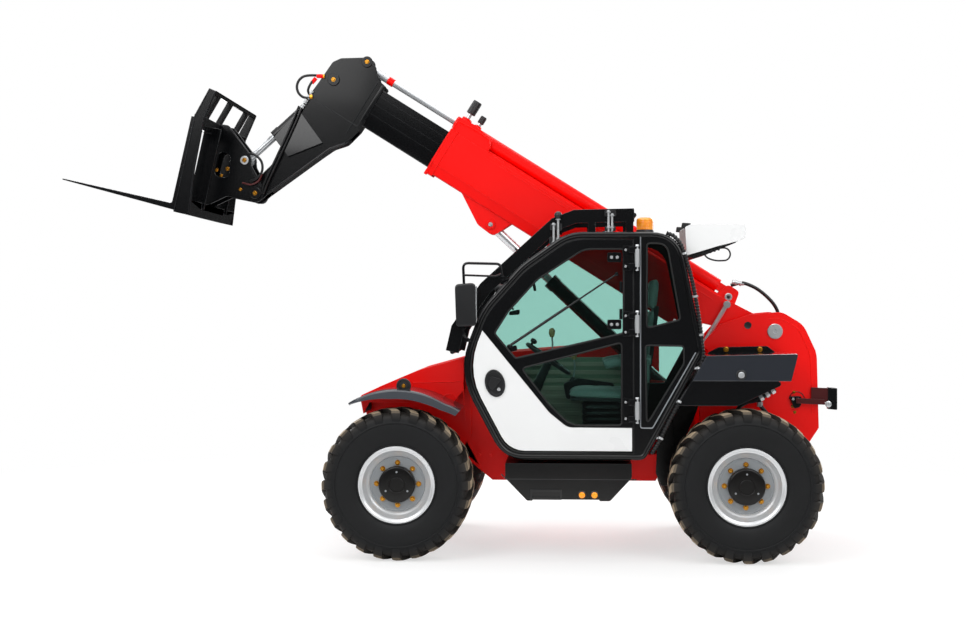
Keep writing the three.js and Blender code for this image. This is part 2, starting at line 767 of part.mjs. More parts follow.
function doorFrame() {
  const [y0, y1] = CAB_LEFT;
  const whole = slab(cabOutline(DOOR_INSET), y0, y1).intersect(block([DOOR_REAR_X, FAR], [0, FAR], [0, FAR]));
  const panes = DOOR_PANES.map((pane) => slab(pane, y0 - 5, y1 + 5));
  const skin = slab(inset(DOOR_SKIN, -FIT), y0 + 8, y1 + 5);
  const window = slab(inset(DOOR_SKIN, 60), y0 - 5, y1);
  const arms = HINGE_HEIGHTS.flatMap((z) =>
    [-1, 1].map((side) => {
      const z0 = z + side * (HINGE_LEAF + 20 + FIT);
      return join(
        block([HINGE_X, DOOR_REAR_X + 30], [HINGE_Y - 8, HINGE_Y + 8], [z0 - 20, z0 + 20]),
        block([DOOR_REAR_X + 12, DOOR_REAR_X + 30], [y1 - 5, HINGE_Y + 8], [z0 - 20, z0 + 20]),
      );
    }),
  );
  return join(cut(whole, ...panes, skin, window), ...arms);
}

function doorPanel() {
  const [y0, y1] = CAB_LEFT;
  const edge = slab(cabOutline(DOOR_INSET + 8), y0 + 8 + FIT, y1 + 2);
  return edge
    .intersect(slab(DOOR_SKIN, y0, y1 + 5))
    .intersect(block([DOOR_REAR_X + 6, FAR], [0, FAR], [0, FAR]));
}

function doorGlass() {
  const [y0] = CAB_LEFT;
  const area = slab(cabOutline(DOOR_INSET + 25), y0 - GLASS - FIT, y0 - FIT);
  return cut(
    area.intersect(block([DOOR_REAR_X + 25, FAR], [0, FAR], [0, FAR])),
    slab(inset(DOOR_SKIN, 22), 0, FAR),
  );
}

const RIGHT_PANE = cabOutline(75);

function cabRightSide() {
  const pane = slab(RIGHT_PANE, CAB_RIGHT[0] - 5, CAB_RIGHT[1] + 5);
  const window = pane.intersect(block([0, FAR], [0, FAR], [1150, FAR]));
  return cut(slab(cabOutline(0), ...CAB_RIGHT), window);
}

function rightWindow() {
  const pane = slab(cabOutline(57), CAB_RIGHT[1] + FIT, CAB_RIGHT[1] + FIT + GLASS);
  return pane.intersect(block([0, FAR], [0, FAR], [1132, FAR]));
}

const CAB_INSIDE = [CAB_RIGHT[1] + 8, CAB_LEFT[0] - 8]; // clear of both side windows
const SCREEN_FOOT = 1430;
const ROOF_EDGE = 2100;
const FLOOR_EDGE = 780;

const cabRing = (thickness) =>
  cut(slab(cabOutline(0), ...CAB_INSIDE), slab(cabOutline(thickness), 0, FAR));
const band = (ring, x, z) => ring.intersect(block(x, [0, FAR], z));

// Each shell panel has short side flanges that reach both side frames.
function flanges(x, z) {
  const wide = slab(cabOutline(0), CAB_RIGHT[1] + FIT, CAB_LEFT[0] - FIT);
  return band(cut(wide, slab(cabOutline(14), 0, FAR)), x, z);
}

function rearWall() {
  const z = [FLOOR_EDGE + FIT, ROOF_EDGE - FIT];
  const wall = band(join(cabRing(CAB_SHELL), flanges([0, 900], z)), [0, 900], z);
  return cut(wall, block([0, 900], [280, 710], [1450, 2000]));
}

function rearWindow() {
  const outline = cabOutline(CAB_SHELL + FIT);
  const ring = cut(slab(outline, 262, 728), slab(cabOutline(CAB_SHELL + FIT + GLASS), 0, FAR));
  return band(ring, [0, 900], [1432, 2018]);
}

const MIRROR_Y = CAB_OUTER_Y + 30;

function mirror() {
  const head = slab(
    rounded([[1764, 1556, 25], [1905, 1546, 25], [1915, 1836, 30], [1774, 1846, 30]]),
    MIRROR_Y - 22,
    MIRROR_Y + 30,
  );
  const tube = (...points) =>
    join(...points.slice(1).map((point, i) => bar(points[i], point, 9, 10)));
  return join(
    head,
    tube(
      [1850, MIRROR_Y, 1830],
      [1862, MIRROR_Y, 1972],
      [1610, MIRROR_Y, 1972],
      [1595, MIRROR_Y, 1875],
      [1538, MIRROR_Y, 1858],
      [1538, CAB_OUTER_Y + FIT, 1858],
    ),
    tube([1858, MIRROR_Y, 1878], [1595, MIRROR_Y, 1878]),
    tube([1835, MIRROR_Y, 1560], [1835, MIRROR_Y, 1500], [1805, CAB_OUTER_Y + 9 + FIT, 1480]),
  );
}

const GUARD_LINE = [
  [1936, 1384],
  [1900, 1540],
  [1715, 1810],
  [1250, 2232],
  [1120, 2282],
  [730, 2290],
];
const GUARD_Y = [
  [205, 235],
  [765, 795],
];

function roofGuard() {
  const rails = GUARD_Y.map(([y0, y1]) => slab(ribbon(GUARD_LINE, 88), y0, y1));
  const [y0, y1] = [GUARD_Y[0][0] + 5, GUARD_Y[1][1] - 5];
  const crossbars = GUARD_LINE.map(([x, z]) => bar([x, y0, z], [x, y1, z], 16));
  const legs = [760, 1010].flatMap((x) =>
    GUARD_Y.map((band) => block([x - 25, x + 25], band, [2177 + FIT, 2270])),
  );
  return join(...rails, ...crossbars, ...legs);
}

function beacon() {
  const x = 645;
  const y = 500;
  return bar([x, y, 2176 + FIT], [x, y, 2292], 62, 16);
}

const CONDENSER_Y = [230, 760];

function condenser() {
  const outline = rounded([
    [372, 2240, 20],
    [-44, 2256, 25],
    [-56, 2170, 30],
    [368, 2040, 20],
  ]);
  const tray = [[360, 2048], [398, 1990], [460, 2130], [425, 2190], [360, 2200]];
  const [y0, y1] = CONDENSER_Y;
  const shell = slab(outline, y0, y1);
  return cut(join(shell, slab(tray, y0 + 60, y1 - 60)), slab(cabOutline(-FIT - 0.2), 0, FAR));
}

function seat() {
  const cushion = rounded([[640, 1040, 40], [1150, 1060, 50], [1160, 1150, 50], [640, 1130, 30]]);
  const back = rounded([[590, 1090, 40], [690, 1090, 30], [640, 1780, 50], [520, 1800, 60]]);
  return join(slab(cushion, 320, 800 - 60), slab(back, 330, 730));
}

function seatBase() {
  const floor = 675 + CAB_SHELL + FIT;
  const seatLine = (x) => 1040 + (x - 640) * (20 / 510) - 0.5;
  return join(
    block([712, 1080], [360, 700], [floor, 760]),
    block([720, 1040], [400, 660], [755, 960]),
    slab([[712, 955], [1070, 955], [1070, seatLine(1070)], [712, seatLine(712)]], 360, 700),
  );
}

function steeringColumn() {
  const floor = 675 + CAB_SHELL + FIT;
  const hub = [1300, 530, 1330];
  const wheel = new THREE.TorusGeometry(170, 15, 8, 16);
  const lean = new THREE.Matrix4().makeRotationY(degrees(-35));
  const ring = toSolid(wheel.applyMatrix4(lean).translate(...hub));
  const spoke = (angle) => {
    const reach = new THREE.Vector3(165 * Math.cos(angle), 165 * Math.sin(angle), 0).applyMatrix4(lean);
    return bar(hub, [hub[0] + reach.x, hub[1] + reach.y, hub[2] + reach.z], 10, 8);
  };
  return join(
    ring,
    ...[0.5, 2.6, 4.7].map(spoke),
    bar([1440, 530, 1000], [1285, 530, 1345], 30, 12),
    block([1390, 1500], [430, 630], [floor, 1080]),
  ).intersect(slab(cabOutline(CAB_SHELL + 0.5), 0, FAR));
}

// ---------------------------------------------------------------- boom
const boomY = (offset) => BOOM_Y + offset;

// A boom section with its lower corners cut off, as Y and height.
function boomSection(halfWidth, top, bottom, chamfer) {
  return [
    [boomY(-halfWidth), top],
    [boomY(-halfWidth), bottom + chamfer * 3],
    [boomY(-halfWidth + chamfer), bottom],
    [boomY(halfWidth - chamfer), bottom],
    [boomY(halfWidth), bottom + chamfer * 3],
    [boomY(halfWidth), top],
  ];
}
const CHAMFER = 34;
const innerSection = (grow) =>
  boomSection(INNER_HALF_WIDTH + grow, INNER_TOP + grow, INNER_BOTTOM - grow, CHAMFER);

function outerBoom() {
  const [eyeS, eyeT] = LIFT_EYE;
  const skin = beam(boomSection(BOOM_HALF_WIDTH, BOOM_TOP, BOOM_BOTTOM, CHAMFER), BOOM_REAR, BOOM_FRONT);
  const hollow = beam(innerSection(5), BOOM_REAR - 5, BOOM_FRONT - 90);
  const mouth = beam(innerSection(RUNNING_FIT), BOOM_REAR, BOOM_FRONT + 50);
  const collar = beam(
    boomSection(BOOM_HALF_WIDTH + 2, BOOM_TOP + 6, BOOM_BOTTOM - 14, CHAMFER),
    BOOM_FRONT - 60,
    BOOM_FRONT,
  );
  const hump = slab(
    rounded([
      [2385, BOOM_TOP - 5, 0],
      [2400, 96, 30],
      [2560, 128, 40],
      [BOOM_FRONT, 118, 20],
      [BOOM_FRONT, 0, 0],
    ]),
    boomY(-78),
    boomY(78),
  );
  const arm = rounded([
    [-78, -78, 74],
    [140, -110, 60],
    [BOOM_REAR + 60, BOOM_BOTTOM + 102, 0],
    [BOOM_REAR + 60, BOOM_TOP, 0],
    [150, BOOM_TOP + 30, 120],
    [-78, 78, 74],
  ]);
  const arms = eachSide(BOOM_Y, [BOOM_HALF_WIDTH - 30, BOOM_HALF_WIDTH], (y0, y1) => slab(arm, y0, y1));
  const clevis = eachSide(BOOM_Y, [26, 44], (y0, y1) =>
    slab(
      rounded([[310, BOOM_TOP - 5, 0], [335, EXTENSION_AXIS + 45, 30], [430, EXTENSION_AXIS + 45, 30],
        [470, BOOM_TOP - 5, 0]]),
      y0,
      y1,
    ),
  );
  const saddle = block([300, BOOM_REAR + 30], [boomY(-80), boomY(80)], [BOOM_TOP - 16, BOOM_TOP]);
  const liftPlates = eachSide(BOOM_Y, [LIFT_PLATE_Y, LIFT_PLATE_Y + 18], (y0, y1) =>
    slab(
      rounded([[1968, BOOM_BOTTOM + 5, 0], [2408, BOOM_BOTTOM + 5, 0], [eyeS + 80, eyeT - 50, 50],
        [eyeS - 60, eyeT - 62, 55]]),
      y0,
      y1,
    ),
  );
  const liftPin = bar([eyeS, boomY(-62), eyeT], [eyeS, boomY(62), eyeT], LIFT_PIN_RADIUS);
  const [levelS, levelT] = LEVELLER_EYE;
  const levelPin = bar(
    [levelS, boomY(BOOM_HALF_WIDTH - 20), levelT],
    [levelS, LEVELLER_Y - LEVELLER_EYE_WIDTH / 2 - FIT, levelT],
    20,
  );
  const pivotBore = bore(
    [0, boomY(-BOOM_HALF_WIDTH - 10), 0],
    [0, boomY(BOOM_HALF_WIDTH + 10), 0],
    BOOM_PIN_RADIUS,
  );
  const barrelBore = bore(
    [2300, BOOM_Y, EXTENSION_AXIS],
    [BOOM_FRONT + 50, BOOM_Y, EXTENSION_AXIS],
    EXTENSION_RADIUS,
  );
  return cut(
    join(skin, collar, hump, arms, clevis, saddle, liftPlates, liftPin, levelPin),
    hollow,
    mouth,
    pivotBore,
    barrelBore,
  );
}

function extensionBarrel() {
  const barrel = join(
    bar([485, BOOM_Y, EXTENSION_AXIS], [BOOM_FRONT + 12, BOOM_Y, EXTENSION_AXIS], EXTENSION_RADIUS, 16),
    slab(disc([EXTENSION_REAR, EXTENSION_AXIS], 36), boomY(-26 + FIT), boomY(26 - FIT)),
    block([EXTENSION_REAR, 495], [boomY(-24), boomY(24)], [EXTENSION_AXIS - 30, EXTENSION_AXIS + 30]),
  );
  const rodHole = bore(
    [560, BOOM_Y, EXTENSION_AXIS],
    [BOOM_FRONT + 50, BOOM_Y, EXTENSION_AXIS],
    EXTENSION_ROD_RADIUS,
  );
  return cut(barrel, rodHole);
}

function extensionRod() {
  const start = EXTENSION_EYE - EXTENSION_ROD_LENGTH;
  return join(
    bar(
      [start, BOOM_Y, EXTENSION_AXIS],
      [EXTENSION_EYE - 30, BOOM_Y, EXTENSION_AXIS],
      EXTENSION_ROD_RADIUS,
      16,
    ),
    slab(disc([EXTENSION_EYE, EXTENSION_AXIS], 38), boomY(-24), boomY(24)),
  );
}

const HEAD_OUTLINE = rounded([
  [3262, -352, 0],
  [3262, 20, 0],
  [3331, 34, 20],
  [3403, 106, 30],
  [3505, 122, 40],
  [3653, 25, 50],
  [3690, -30, 40],
  [3698, -200, 0],
  [3722, -500, 200],
  [3668, -870, 60],
  [3728, -1110, 40],
  [3700, -1198, 60],
  [3615, -1198, 60],
  [3585, -1100, 40],
  [3366, -567, 60],
  [3292, -479, 60],
]);

function innerBoom() {
  const tube = cut(
    beam(innerSection(0), INNER_REAR, 3290),
    beam(innerSection(-INNER_WALL), INNER_REAR - 5, 3250),
  );
  const plates = eachSide(BOOM_Y, HEAD_PLATE_Y, (y0, y1) => slab(HEAD_OUTLINE, y0, y1));
  const flangeSection = boomSection(INNER_HALF_WIDTH + 6, INNER_TOP + 30, INNER_BOTTOM - 46, CHAMFER);
  const flange = beam(flangeSection, 3262, 3290);
  const [baseS, baseT] = TILT_BASE;
  const basePin = bar([baseS, boomY(-85), baseT], [baseS, boomY(85), baseT], 26);
  const rodPin = bar(
    [EXTENSION_EYE, boomY(24 + FIT), EXTENSION_AXIS],
    [EXTENSION_EYE, boomY(70), EXTENSION_AXIS],
    26,
  );
  const rodPinFar = bar(
    [EXTENSION_EYE, boomY(-70), EXTENSION_AXIS],
    [EXTENSION_EYE, boomY(-24 - FIT), EXTENSION_AXIS],
    26,
  );
  const [pivotS, pivotT] = TILT_PIN;
  const pinEnd = EAR_PLATE_Y[1] + 6;
  const pivotPin = bar([pivotS, boomY(-pinEnd), pivotT], [pivotS, boomY(pinEnd), pivotT], 28);
  const spacer = bar([pivotS, boomY(-60), pivotT], [pivotS, boomY(60), pivotT], 45);
  const back = slab(
    ribbon([[3290, -440], [3375, -575], [3580, -1060]], 14),
    boomY(-60),
    boomY(60),
  );
  return join(tube, plates, flange, basePin, rodPin, rodPinFar, pivotPin, spacer, back);
}

// ---------------------------------------------------------------- carriage and forks
const GUARD_BARS = [-420, 95, 470]; // middles of the upright bars, clear of the tilt cylinder

function carriage() {
  const ear = cut(
    slab(
      rounded([
        [-62, 0, 40],
        [-46, -62, 50],
        [200, -66, 30],
        [320, -160, 20],
        [FORK_FACE - 20, -160, 0],
        [FORK_FACE - 20, 430, 0],
        [300, 440, 40],
        [96, 268, 45],
        [72, 190, 45],
        [-40, 62, 50],
      ]),
      0,
      EAR_PLATE_Y[1] - EAR_PLATE_Y[0],
    ),
    bore([0, -5, 0], [0, 50, 0], 28),
    slab(rounded([[215, 60, 40], [330, 60, 40], [330, 250, 40], [235, 230, 40]]), -5, 50),
  );
  const near = ear.translate([0, boomY(EAR_PLATE_Y[0]), 0]);
  const far = ear.translate([0, boomY(-EAR_PLATE_Y[1]), 0]);
  const [eyeF, eyeH] = TILT_EYE;
  const stub = (y0, y1) => bar([eyeF, boomY(y0), eyeH], [eyeF, boomY(y1), eyeH], 26);
  const width = [boomY(-CARRIAGE_HALF_WIDTH), boomY(CARRIAGE_HALF_WIDTH)];
  const side = slab(
    [
      [FORK_FACE, -262],
      [FORK_FACE, 414],
      [344, 620],
      [292, 606],
      [332, 405],
      [322, 60],
      [290, -262],
    ],
    0,
    20,
  );
  const guardBar = ribbon([[376, 420], [318, 600]], 36);
  return join(
    near,
    far,
    stub(35 + FIT, EAR_PLATE_Y[0] + 5),
    stub(-EAR_PLATE_Y[0] - 5, -35 - FIT),
    block([300, FORK_FACE], width, [-262, -160]),
    block([345, FORK_FACE], width, [335, 425]),
    block([368, FORK_FACE - 5], [boomY(-160), boomY(160)], [-170, 340]),
    side.translate([0, width[0], 0]),
    side.translate([0, width[1] - 20, 0]),
    slab(ribbon([[340, 606], [298, 598]], 24), ...width),
    ...GUARD_BARS.map((y) => slab(guardBar, boomY(y - 30), boomY(y + 30))),
    ...[-1, 1].map((hand) =>
      block([280, FORK_FACE - 5], [boomY(hand * 330 - 12), boomY(hand * 330 + 12)], [-200, 380]),
    ),
  );
}

function fork(offset) {
  const front = FORK_FACE + FIT;
  const heel = front + FORK_THICKNESS;
  const outline = rounded([
    [front, -250, 20],
    [FORK_LENGTH, -212, 0],
    [FORK_LENGTH, -202, 0],
    [heel, -205, 12],
    [heel - 4, 413, 0],
    [front, 413, 0],
  ]);
  return slab(outline, boomY(offset - FORK_WIDTH / 2), boomY(offset + FORK_WIDTH / 2));
}

// ---------------------------------------------------------------- hydraulic cylinders
// Each lies along its own X axis, from its base pin at 0.
function alongLine(from, to) {
  const dx = to[0] - from[0];
  const dz = to[1] - from[1];
  return { length: Math.hypot(dx, dz), frame: frameAt(from, Math.atan2(dz, dx)) };
}

function barrelSolid({ y, radius, rodRadius, eye, eyeWidth, length, boreStart }) {
  return cut(
    join(
      bar([eye * 0.8, y, 0], [length, y, 0], radius, 16),
      slab(disc([0, 0], eye), y - eyeWidth / 2, y + eyeWidth / 2),
      bar([length - 60, y, 0], [length, y, 0], radius + 5, 16),
    ),
    bore([boreStart, y, 0], [length + 20, y, 0], rodRadius),
  );
}

function rodSolid({ y, radius, eye, eyeWidth, start, end, pin = 0 }) {
  const body = join(
    bar([start, y, 0], [end - eye * 0.6, y, 0], radius, 16),
    slab(disc([end, 0], eye), y - eyeWidth / 2, y + eyeWidth / 2),
  );
  return pin ? cut(body, bore([end, y - 100, 0], [end, y + 100, 0], pin)) : body;
}

// ---------------------------------------------------------------- assembly
add("chassis_frame", chassisFrame(), RED);
add("rear_tower", rearTower(), RED);
add("front_axle", axle(WHEELBASE), CAST);
add("rear_axle", axle(0), CAST);
add("step_panel", stepPanel(), BLACK);
add("left_tank", leftTank(), BLACK);
add("left_tank_cover", tankCover(BOOM_Y + TOWER_Y[1] + 20, 862), BLACK);
add("right_tank", rightTank(), BLACK);
add("engine_block", block([700, 1400], [-800, -340], [532 + FIT, 1120]), CAST);
add("engine_cover", engineCover(), RED);
add("engine_hood", engineHood(), RED);
add("rear_bracket", rearBracket(), BLACK);
add("left_fender", fender(1), BLACK);
add("right_fender", fender(-1), BLACK);

for (const [corner, x, side] of CORNERS) {
  add(corner + "_knuckle", knuckle(x, side), CAST);
  add(corner + "_rim", rim(x, side), SILVER);
  add(corner + "_tyre", tyre(x, side), RUBBER);
}

const shellX = [0, FAR];
add("cab_left_side", cabLeftSide(), BLACK);
add("cab_right_side", cabRightSide(), BLACK);
add("cab_rear_wall", rearWall(), BLACK);
const roofZ = [ROOF_EDGE, FAR];
add("cab_roof", band(join(cabRing(CAB_SHELL), flanges(shellX, roofZ)), shellX, roofZ), BLACK);
add(
  "cab_floor",
  band(join(cabRing(CAB_SHELL), flanges(shellX, [0, FAR])), shellX, [0, FLOOR_EDGE]).add(
    band(join(cabRing(CAB_SHELL), flanges(shellX, [0, FAR])), [900, FAR], [0, SCREEN_FOOT - FIT]),
  ),
  BLACK,
);
add("windscreen", band(flanges(shellX, [0, FAR]), [900, FAR], [SCREEN_FOOT, ROOF_EDGE - FIT]), TINT);
add("rear_window", rearWindow(), TINT);
add("right_window", rightWindow(), TINT);
add("quarter_glass", quarterGlass(), TINT);
add("door_frame", doorFrame(), BLACK);
add("door_panel", doorPanel(), WHITE);
add("door_glass", doorGlass(), TINT);
add("roof_guard", roofGuard(), BLACK);
add("mirror", mirror(), BLACK);
add("beacon", beacon(), AMBER);
add("condenser_box", condenser(), WHITE);
add("seat", seat(), BLACK);
add("seat_base", seatBase(), BLACK);
add("steering_column", steeringColumn(), BLACK);

add("outer_boom", outerBoom(), RED, boomFrame);
add("extension_barrel", extensionBarrel(), RED, boomFrame);
add("inner_boom", innerBoom(), BLACK, boomFrame);
add("extension_rod", extensionRod(), CHROME, boomFrame);
add("carriage", carriage(), BLACK, carriageFrame);
add("left_fork", fork(FORK_OFFSET), BLACK, carriageFrame);
add("right_fork", fork(-FORK_OFFSET), BLACK, carriageFrame);

const lift = alongLine(LIFT_BASE, onBoom(LIFT_EYE));
add(
  "lift_barrel",
  barrelSolid({
    y: BOOM_Y,
    radius: LIFT_BARREL_RADIUS,
    rodRadius: LIFT_ROD_RADIUS,
    eye: 50,
    eyeWidth: 2 * LIFT_BARREL_RADIUS,
    length: LIFT_BARREL_LENGTH,
    boreStart: 150,
  }),
  BLACK,
  lift.frame,
);
add(
  "lift_rod",
  rodSolid({
    y: BOOM_Y,
    radius: LIFT_ROD_RADIUS,
    eye: 48,
    eyeWidth: 2 * (LIFT_PLATE_Y - FIT),
    start: lift.length - LIFT_ROD_LENGTH,
    end: lift.length,
    pin: LIFT_PIN_RADIUS,
  }),
  CHROME,
  lift.frame,
);

const leveller = alongLine(LEVELLER_BASE, onBoom(LEVELLER_EYE));
add(
  "leveller_barrel",
  barrelSolid({
    y: LEVELLER_Y,
    radius: LEVELLER_RADIUS,
    rodRadius: LEVELLER_ROD_RADIUS,
    eye: 26,
    eyeWidth: LEVELLER_EYE_WIDTH,
    length: 560,
    boreStart: 60,
  }),
  BLACK,
  leveller.frame,
);
add(
  "leveller_rod",
  rodSolid({
    y: LEVELLER_Y,
    radius: LEVELLER_ROD_RADIUS,
    eye: 26,
    eyeWidth: LEVELLER_EYE_WIDTH,
    start: 320,
    end: leveller.length,
  }),
  CHROME,
  leveller.frame,
);

const tilt = alongLine(onBoom(TILT_BASE), onCarriage(TILT_EYE));
add(
  "tilt_barrel",
  cut(
    barrelSolid({
      y: BOOM_Y,
      radius: TILT_BARREL_RADIUS,
      rodRadius: TILT_ROD_RADIUS,
      eye: 46,
      eyeWidth: TILT_EYE_WIDTH,
      length: 600,
      boreStart: 80,
    }),
    bore([0, BOOM_Y - 100, 0], [0, BOOM_Y + 100, 0], 26),
  ),
  BLACK,
  tilt.frame,
);
add(
  "tilt_rod",
  rodSolid({
    y: BOOM_Y,
    radius: TILT_ROD_RADIUS,
    eye: 44,
    eyeWidth: 70,
    start: 220,
    end: tilt.length,
  }),
  CHROME,
  tilt.frame,
);

// The origin goes to the bottom centre of the whole machine.
machine.updateMatrixWorld(true);
const extent = new THREE.Box3().setFromObject(machine);
const centre = extent.getCenter(new THREE.Vector3());
machine.position.set(-centre.x, -centre.y, -extent.min.z);
const group = new THREE.Group();
group.add(machine);

export default group;
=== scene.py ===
"""Compact telehandler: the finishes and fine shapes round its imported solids.

Metres, +X forwards, +Y to the machine's left, +Z up. Most sizes are written in millimetres from
the rear axle, as the machine's maker would, and at() takes them to the frame.
"""
import json
from math import cos, hypot, pi, radians, sin

import bmesh
import bpy
from mathutils import Matrix, Vector
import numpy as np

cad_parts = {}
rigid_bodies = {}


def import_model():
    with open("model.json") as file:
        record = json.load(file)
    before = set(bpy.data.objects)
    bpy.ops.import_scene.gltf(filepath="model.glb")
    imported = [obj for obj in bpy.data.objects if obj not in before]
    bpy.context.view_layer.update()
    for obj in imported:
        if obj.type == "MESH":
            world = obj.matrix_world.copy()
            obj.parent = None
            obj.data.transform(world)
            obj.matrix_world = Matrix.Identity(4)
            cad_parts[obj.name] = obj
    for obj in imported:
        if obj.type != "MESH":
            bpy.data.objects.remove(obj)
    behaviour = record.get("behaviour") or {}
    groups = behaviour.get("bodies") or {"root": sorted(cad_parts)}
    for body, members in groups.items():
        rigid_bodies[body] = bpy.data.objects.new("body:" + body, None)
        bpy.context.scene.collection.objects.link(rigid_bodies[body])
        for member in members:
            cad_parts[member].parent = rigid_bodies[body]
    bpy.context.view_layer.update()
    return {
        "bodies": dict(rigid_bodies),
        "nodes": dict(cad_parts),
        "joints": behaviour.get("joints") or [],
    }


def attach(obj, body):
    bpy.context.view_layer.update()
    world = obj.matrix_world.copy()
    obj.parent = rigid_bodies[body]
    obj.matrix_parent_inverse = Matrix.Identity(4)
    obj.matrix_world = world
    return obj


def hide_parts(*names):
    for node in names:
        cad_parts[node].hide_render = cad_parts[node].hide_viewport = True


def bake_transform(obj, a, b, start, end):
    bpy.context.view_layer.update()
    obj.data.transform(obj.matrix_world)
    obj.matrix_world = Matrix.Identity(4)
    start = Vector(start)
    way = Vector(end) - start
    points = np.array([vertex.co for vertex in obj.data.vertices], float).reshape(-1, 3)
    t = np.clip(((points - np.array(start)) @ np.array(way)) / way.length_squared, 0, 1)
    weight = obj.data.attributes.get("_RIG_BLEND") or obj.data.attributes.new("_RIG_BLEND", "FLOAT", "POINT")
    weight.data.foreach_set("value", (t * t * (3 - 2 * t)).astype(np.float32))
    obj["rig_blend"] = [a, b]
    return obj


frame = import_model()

scene = bpy.context.scene
joints = {joint["name"]: joint for joint in frame["joints"]}


# ------------ studio
# The machine stands on a plain pale floor in a white room, under soft panel lamps. A level lens
# at standing height looks square at the cab's side from about ten metres away.
CAMERA_PLACE = (-0.8192, 10.4364, 1.6687)
CAMERA_TURN = (radians(90), 0, radians(183.4))
LENS_MM = 54.13
SENSOR_MM = 36
ROOM_LIGHT = 0.55
LAMPS = [  # place, size, watts, what each looks at
    ((3.5, 6.5, 6.5), 5.0, 250, (0, 0, 1.4)),
    ((-4.5, 5.5, 5.0), 4.0, 130, (-0.5, 0, 1.2)),
    ((0.0, -1.0, 7.5), 6.0, 200, (0, 0, 1.0)),
    ((-5.0, -6.0, 4.5), 4.0, 210, (0, 0, 1.0)),
    ((5.0, -6.0, 4.5), 4.0, 210, (0, 0, 1.0)),
]
FILL = ((-0.8, 9.5, 1.2), 7.0, 150, (0, 0, 0.9))  # softens shadows, and no paint mirrors it


def fed(tree, made, inputs):
    """Fills a node's inputs. Each is given a value, or the socket that feeds it."""
    for key, value in inputs.items():
        if isinstance(value, bpy.types.NodeSocket):
            tree.links.new(value, made.inputs[key])
        else:
            made.inputs[key].default_value = value
    return made


def node(tree, kind, inputs=None, **settings):
    made = tree.nodes.new(kind)
    for key, value in settings.items():
        setattr(made, key, value)
    return fed(tree, made, inputs or {})


def shade(tree, kind, inputs=None, **settings):
    return node(tree, "ShaderNode" + kind, inputs, **settings)


def first(tree, kind, inputs=None, **settings):
    """The first output of a new shader node."""
    return shade(tree, kind, inputs, **settings).outputs[0]


def object_place(tree):
    return shade(tree, "TexCoord").outputs["Object"]


def seen_directly(tree):
    """1 for rays from the lens, also by way of glass, and 0 for mirrored or scattered light."""
    path = shade(tree, "LightPath")
    return first(tree, "Math", {0: path.outputs["Is Camera Ray"], 1: path.outputs["Is Transmission Ray"]},
        operation="MAXIMUM")


def make_studio():
    camera = bpy.data.cameras.new("lens")
    camera.lens = LENS_MM
    camera.sensor_width = SENSOR_MM
    camera.clip_end = 300
    holder = bpy.data.objects.new("camera", camera)
    holder.location = CAMERA_PLACE
    holder.rotation_euler = CAMERA_TURN
    scene.collection.objects.link(holder)
    scene.camera = holder
    scene.view_settings.view_transform = "Standard"

    world = bpy.data.worlds.new("white_room")
    world.use_nodes = True
    scene.world = world
    tree = world.node_tree
    path = shade(tree, "LightPath").outputs
    height = shade(tree, "SeparateXYZ", {0: shade(tree, "TexCoord").outputs["Generated"]})
    walls = shade(tree, "MapRange", {0: height.outputs[2], 1: 0.1, 2: 0.62, 3: 0.04, 4: 1.1},
        interpolation_type="SMOOTHSTEP")
    mirrored = shade(tree, "Mix", {0: path["Is Glossy Ray"], 2: ROOM_LIGHT, 3: walls.outputs[0]})
    strength = first(tree, "Mix", {0: seen_directly(tree), 2: mirrored.outputs[0], 3: 1.0})
    fed(tree, tree.nodes["Background"], {"Strength": strength, "Color": (1, 1, 1, 1)})

    for i, (place, size, watts, target) in enumerate(LAMPS + [FILL]):
        lamp = bpy.data.lights.new(f"panel_{i}", "AREA")
        lamp.shape = "SQUARE"
        lamp.size = size
        lamp.energy = watts
        holder = bpy.data.objects.new(f"panel_{i}", lamp)
        holder.location = place
        aim = Vector(target) - Vector(place)
        holder.rotation_euler = aim.to_track_quat("-Z", "Y").to_euler()
        holder.visible_camera = False
        holder.visible_glossy = i < len(LAMPS)
        scene.collection.objects.link(holder)


def make_floor():
    bm = bmesh.new()
    bmesh.ops.create_circle(bm, cap_ends=True, segments=96, radius=60)
    mesh = bpy.data.meshes.new("floor")
    bm.to_mesh(mesh)
    bm.free()
    floor = bpy.data.objects.new("floor", mesh)
    scene.collection.objects.link(floor)
    material = bpy.data.materials.new("pale_floor")
    material.use_nodes = True
    tree = material.node_tree
    tree.nodes.clear()
    seen = seen_directly(tree)
    pale = first(tree, "Mix", {0: seen, 2: 0.86, 3: 0.45})
    matt = shade(tree, "BsdfDiffuse", {"Color": pale})
    glow = shade(tree, "Emission", {"Color": (1, 1, 1, 1)})
    level = shade(tree, "Math", {0: seen, 1: 0.6}, operation="MULTIPLY")
    tree.links.new(level.outputs[0], glow.inputs["Strength"])
    near = shade(tree, "AddShader", {0: matt.outputs[0], 1: glow.outputs[0]})
    far = shade(tree, "Emission", {"Color": (1, 1, 1, 1)})
    mirrored = shade(tree, "LightPath").outputs["Is Glossy Ray"]
    bright = shade(tree, "Mix", {0: mirrored, 2: 1.0, 3: 0.05})
    tree.links.new(bright.outputs[0], far.inputs["Strength"])
    place = object_place(tree)
    reach = shade(tree, "VectorMath", {0: place}, operation="LENGTH")
    fade = shade(tree, "MapRange", {0: reach.outputs["Value"], 1: 3.2, 2: 6.5},
        interpolation_type="SMOOTHSTEP")
    both = shade(tree, "MixShader", {0: fade.outputs[0], 1: near.outputs[0], 2: far.outputs[0]})
    shade(tree, "OutputMaterial", {"Surface": both.outputs[0]})
    mesh.materials.append(material)


make_studio()
make_floor()


